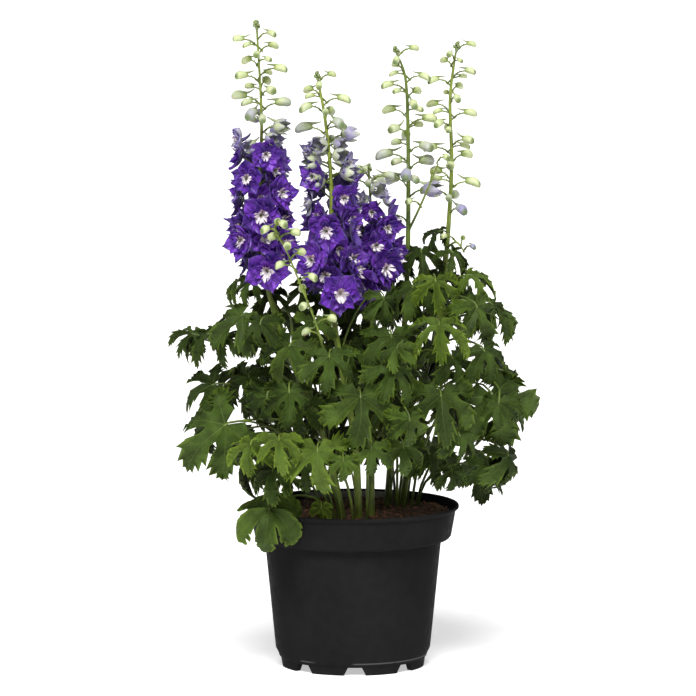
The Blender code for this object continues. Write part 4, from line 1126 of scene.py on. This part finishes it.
smallLeaves = {
    "left": [
        (-88, -30, 408, 34, 20, 45, 0, 0.6, 365, -0.4), (-108, -46, 426, 30, -50, 35, 10, 0.95, 395, 0.1),
        (-136, -50, 364, 33, -40, 55, 0, 0.7, 320, -0.3), (-112, -50, 322, 38, -20, 65, 0, 0.6, 270, -0.5),
        (-94, -60, 364, 30, 0, 60, 0, 0.6, 320, -0.3), (-168, -36, 362, 26, -95, 12, 40, 1.0, 312, -0.6),
        (-172, -34, 366, 32, -90, -12, 30, 1.0, 318, -0.5), (-138, -66, 250, 36, -60, 55, 0, 0.5, 215, -0.2),
        (-158, -70, 268, 32, -80, 40, 20, 0.4, 230, -0.1), (-70, -104, 222, 24, -5, 60, 0, 0.5, 190, 0.1),
    ],
    "front": [
        (-50, -20, 415, 37, -30, 45, 0, 0.6, 370, -0.5), (-30, -10, 398, 36, 10, 45, 0, 0.6, 350, -0.7),
    ],
    "middle": [(70, 60, 396, 42, -10, 45, 0, 0.6, 350, -0.8)],
    "right": [
        (74, 30, 448, 36, 10, 42, 0, 0.8, 405, -0.3), (60, 52, 442, 32, -70, 25, 10, 0.9, 410, -0.5),
        (106, -66, 222, 28, 20, 60, 0, 0.6, 178, 0.0), (96, 50, 420, 40, 10, 40, 0, 0.6, 370, -0.7),
        (44, 24, 486, 18, -80, 25, 0, 1.0, 474, -0.5),
    ],
    "far_right": [
        (94, 34, 470, 27, -95, 5, 25, 1.0, 462, -0.5), (108, 24, 448, 32, 60, 35, 10, 0.9, 420, -0.2),
        (162, -36, 284, 42, 55, 50, 20, 0.4, 240, -0.1), (146, -50, 226, 36, 20, 65, 0, 0.6, 178, -0.3),
        (140, -14, 388, 33, 50, 55, 0, 0.7, 345, 0.1), (150, -14, 396, 29, 75, 35, 20, 1.0, 350, -0.3),
        (120, 40, 398, 40, 40, 45, 0, 0.6, 350, -0.7),
    ],
}
# More of them inside the mound, which only the gaps between the others show; their dark tone is painted
# shade
innerLeaves = {"count": 44, "middle": (8, 6, 304), "reach": (126, 62, 82), "length": (30, 42),
               "dip": (30, 70), "cut": (0.5, 0.9), "stalk": 45, "lowest": 200, "tone": -0.8}


def innerRows():
    look, draw, rows = innerLeaves, random.Random("inner leaves"), {name: [] for name in stems}
    for k in range(look["count"]):
        level, turn = 1 - 2 * (k + 0.5) / look["count"], goldenTurn * k
        out = 0.35 + 0.6 * sqrt(draw.random())
        flat = sqrt(1 - level ** 2) * out
        ways = (flat * sin(turn), -flat * cos(turn), level * out)
        x, y, z = (m + r * w for m, r, w in zip(look["middle"], look["reach"], ways))
        heading = atan2(ways[0], -ways[1]) / radians(1) + draw.uniform(-40, 40)
        name = min(stems, key=lambda n: abs(placeOn(stemPath(n), z).x / mm - x))
        length, dip, cut = drawn(draw, look, "length", "dip", "cut")
        height = max(z - look["stalk"], look["lowest"])
        rows[name].append((x, y, z, length, heading, dip, 0, cut, height, look["tone"]))
    return rows


def makeLeaves():
    found, inner, looks = 0, innerRows(), ["leafTop", "leafUnder", "stalk"]
    for name, rows in stemLeaves.items():
        corners, path, parts = cornersOf("stem_" + name), stemPath(name), []
        for *row, height in rows:
            placed, hits = settled(tuple(row), corners)
            found += hits > 1
            parts += leafParts(placed, placeOn(path, height), False, leafTones.get(tuple(row[:2]), 0))
        for *row, height, tone in smallLeaves[name] + inner[name]:
            parts += leafParts(row, placeOn(path, height), False, tone)
        finishPiece("leaves_" + name, parts, looks, ["stem_" + name])
    for number, (*row, ground) in enumerate(basalLeaves, 1):
        placed, hits = settled(tuple(row), cornersOf(f"basal_leaf_{number}"))
        found += hits > 1
        place = tuple(row[:2])
        start = Vector((*ground, stemForm["rootTop"])) * mm
        parts = leafParts(placed, start, True, leafTones.get(place, 0), place in roundLeaves)
        finishPiece(f"leaf_basal_{number}", parts, looks, [f"basal_leaf_{number}"])
    print(found, "leaves lie where the solids' leaves lie")


# Pot and peat. A profile is a list of points: how far out and how high.

potShape = {
    "sides": 128, "turn": 1.5,
    "notches": {"count": 8, "top": 15, "foot": 25, "out": 74.5, "through": 13, "middle": 3.9, "height": 9.8},
    "drains": {"count": 4, "radius": 6, "out": 55, "middle": 10, "height": 8, "sides": 24},
    "profile": [
        (0, 9), (71, 9), (71, 0), (77.5, 0), (78.5, 9), (80.2, 11), (80.6, 13), (84, 20), (95.8, 137.5),
        (104.6, 140), (106.7, 142.5), (111.7, 170.6), (113.8, 171.6), (115, 172.8), (115, 174.8),
        (114.3, 175.8), (112.8, 176), (111.4, 175.4), (110.6, 173.6), (109.2, 168.2), (104.9, 143.3),
        (94, 137.5), (76.7, 11), (0, 11),
    ],
}


def spun(profile, sides):
    shape = newShape()[0]
    corners = [shape.verts.new((r * mm, 0, z * mm)) for r, z in profile]
    edges = [shape.edges.new(pair) for pair in zip(corners, corners[1:])]
    bmesh.ops.spin(shape, geom=corners + edges, axis=(0, 0, 1), cent=(0, 0, 0), angle=tau, steps=sides,
                   use_merge=True)
    bmesh.ops.remove_doubles(shape, verts=shape.verts, dist=1e-6)
    bmesh.ops.recalc_face_normals(shape, faces=shape.faces)
    return shape


def turned(shape, turn):
    bmesh.ops.rotate(shape, verts=shape.verts, cent=(0, 0, 0), matrix=Matrix.Rotation(turn, 3, "Z"))
    return shape


def notchCutter(notch):
    shape = bmesh.new()
    bmesh.ops.create_cube(shape, size=1)
    for corner in shape.verts:
        x, y, z = corner.co
        out, high = notch["out"] + notch["through"] * x, notch["middle"] + notch["height"] * z
        corner.co = Vector((out, notch["top" if z > 0 else "foot"] * y, high)) * mm
    return shape


def drainCutter(drain):
    shape = bmesh.new()
    radius = drain["radius"] * mm
    bmesh.ops.create_cone(shape, cap_ends=True, segments=drain["sides"], radius1=radius, radius2=radius,
                          depth=drain["height"] * mm)
    bmesh.ops.translate(shape, verts=shape.verts, vec=(drain["out"] * mm, 0, drain["middle"] * mm))
    return shape


def makePot():
    group = bpy.data.collections.new("cutters")
    bpy.context.scene.collection.children.link(group)
    for makeCutter, holes in ((notchCutter, potShape["notches"]), (drainCutter, potShape["drains"])):
        for i in range(holes["count"]):
            turn = radians(potShape["turn"]) + tau * (i / holes["count"]) - pi / 2
            cutter = turned(makeCutter(holes), turn)
            group.objects.link(bpy.data.objects.new("cutter", meshOf("cutter", cutter)))
    body = newObject("body", meshOf("body", spun(potShape["profile"], potShape["sides"])))
    cut = body.modifiers.new("notches", "BOOLEAN")
    cut.operand_type, cut.collection, cut.operation, cut.solver = "COLLECTION", group, "DIFFERENCE", "EXACT"
    bpy.context.view_layer.update()
    shape = bmesh.new()
    finished = body.evaluated_get(bpy.context.evaluated_depsgraph_get())
    shape.from_mesh(bpy.data.meshes.new_from_object(finished))
    for each in [body, *group.objects]:
        bpy.data.objects.remove(each)
    bpy.data.collections.remove(group)
    finishPiece("pot_black", [shape], ["pot"], ["pot"], sharp=32)


# Waves of the solid's swell in metres, sizes in millimetres
soilShape = {"sides": 140, "rings": 34, "top": 167, "edge": 107, "bump": 1.5, "waves": (0.011, 0.009),
             "rough": 1.6, "clod": 7,
             "outside": [(0, 11.4), (76.2, 11.4), (93.5, 137.5), (104.2, 144.3), (106.8, 166)]}
crumbs = {"count": 900, "reach": 105, "size": (0.7, 2.1), "tones": (0, 0, 0.3, 0.8), "rough": (0.7, 1.3),
          "long": (0.7, 1.6), "flat": 0.7}


def soilHeight(x, y):
    # The peat's height in metres at this place, with the solid's gentle swell and small clods
    swell = soilShape["bump"] * sin(x / soilShape["waves"][0]) * cos(y / soilShape["waves"][1])
    clods = soilShape["rough"] * noise.fractal(Vector((x, y, 0)) / (soilShape["clod"] * mm), 1.0, 2.0, 3)
    return (soilShape["top"] + 0.7 * swell + clods) * mm


def makeSoil():
    edge, top, rings = soilShape["edge"], soilShape["top"], soilShape["rings"]
    ground = [(edge * (1 - i / rings), top) for i in range(rings + 1)]
    shape = spun(soilShape["outside"] + ground, soilShape["sides"])
    for corner in shape.verts:
        if corner.co.z > (top - 0.5) * mm:
            corner.co.z = soilHeight(corner.co.x, corner.co.y)
    finishPiece("peat_fill", [shape], ["peat"], ["soil"])
    draw, parts = random.Random("crumbs"), []
    for _ in range(crumbs["count"]):
        r, turn = crumbs["reach"] * sqrt(draw.random()), draw.uniform(0, 6.28)
        x, y = r * sin(turn) * mm, r * cos(turn) * mm
        size, tone = draw.uniform(*crumbs["size"]) * mm, draw.choice(crumbs["tones"])
        shape, _, toneLayer, _ = newShape()
        bmesh.ops.create_icosphere(shape, subdivisions=1, radius=size)
        for corner in shape.verts:
            corner.co = corner.co * draw.uniform(*crumbs["rough"])
            corner[toneLayer] = tone
        bmesh.ops.scale(shape, verts=shape.verts, vec=(draw.uniform(*crumbs["long"]), 1, crumbs["flat"]))
        turned(shape, draw.uniform(0, 3))
        bmesh.ops.translate(shape, verts=shape.verts, vec=(x, y, soilHeight(x, y) + 0.2 * size))
        parts.append(shape)
    finishPiece("peat_crumbs", parts, ["peat"], ["soil"], sharp=20)


makeCamera()
makeLights()
makeFloor()
print("camera, light and floor")
makePot()
makeSoil()
print("pot and peat")
stalkParts = {name: [] for name in stems}
for name in spikes:
    makeSpike(name, stalkParts[name])
print("florets")
for name in budSpikes:
    makeBuds(name, stalkParts[name])
print("buds")
makeStems(stalkParts)
print("stems")
makeLeaves()
print("leaves")
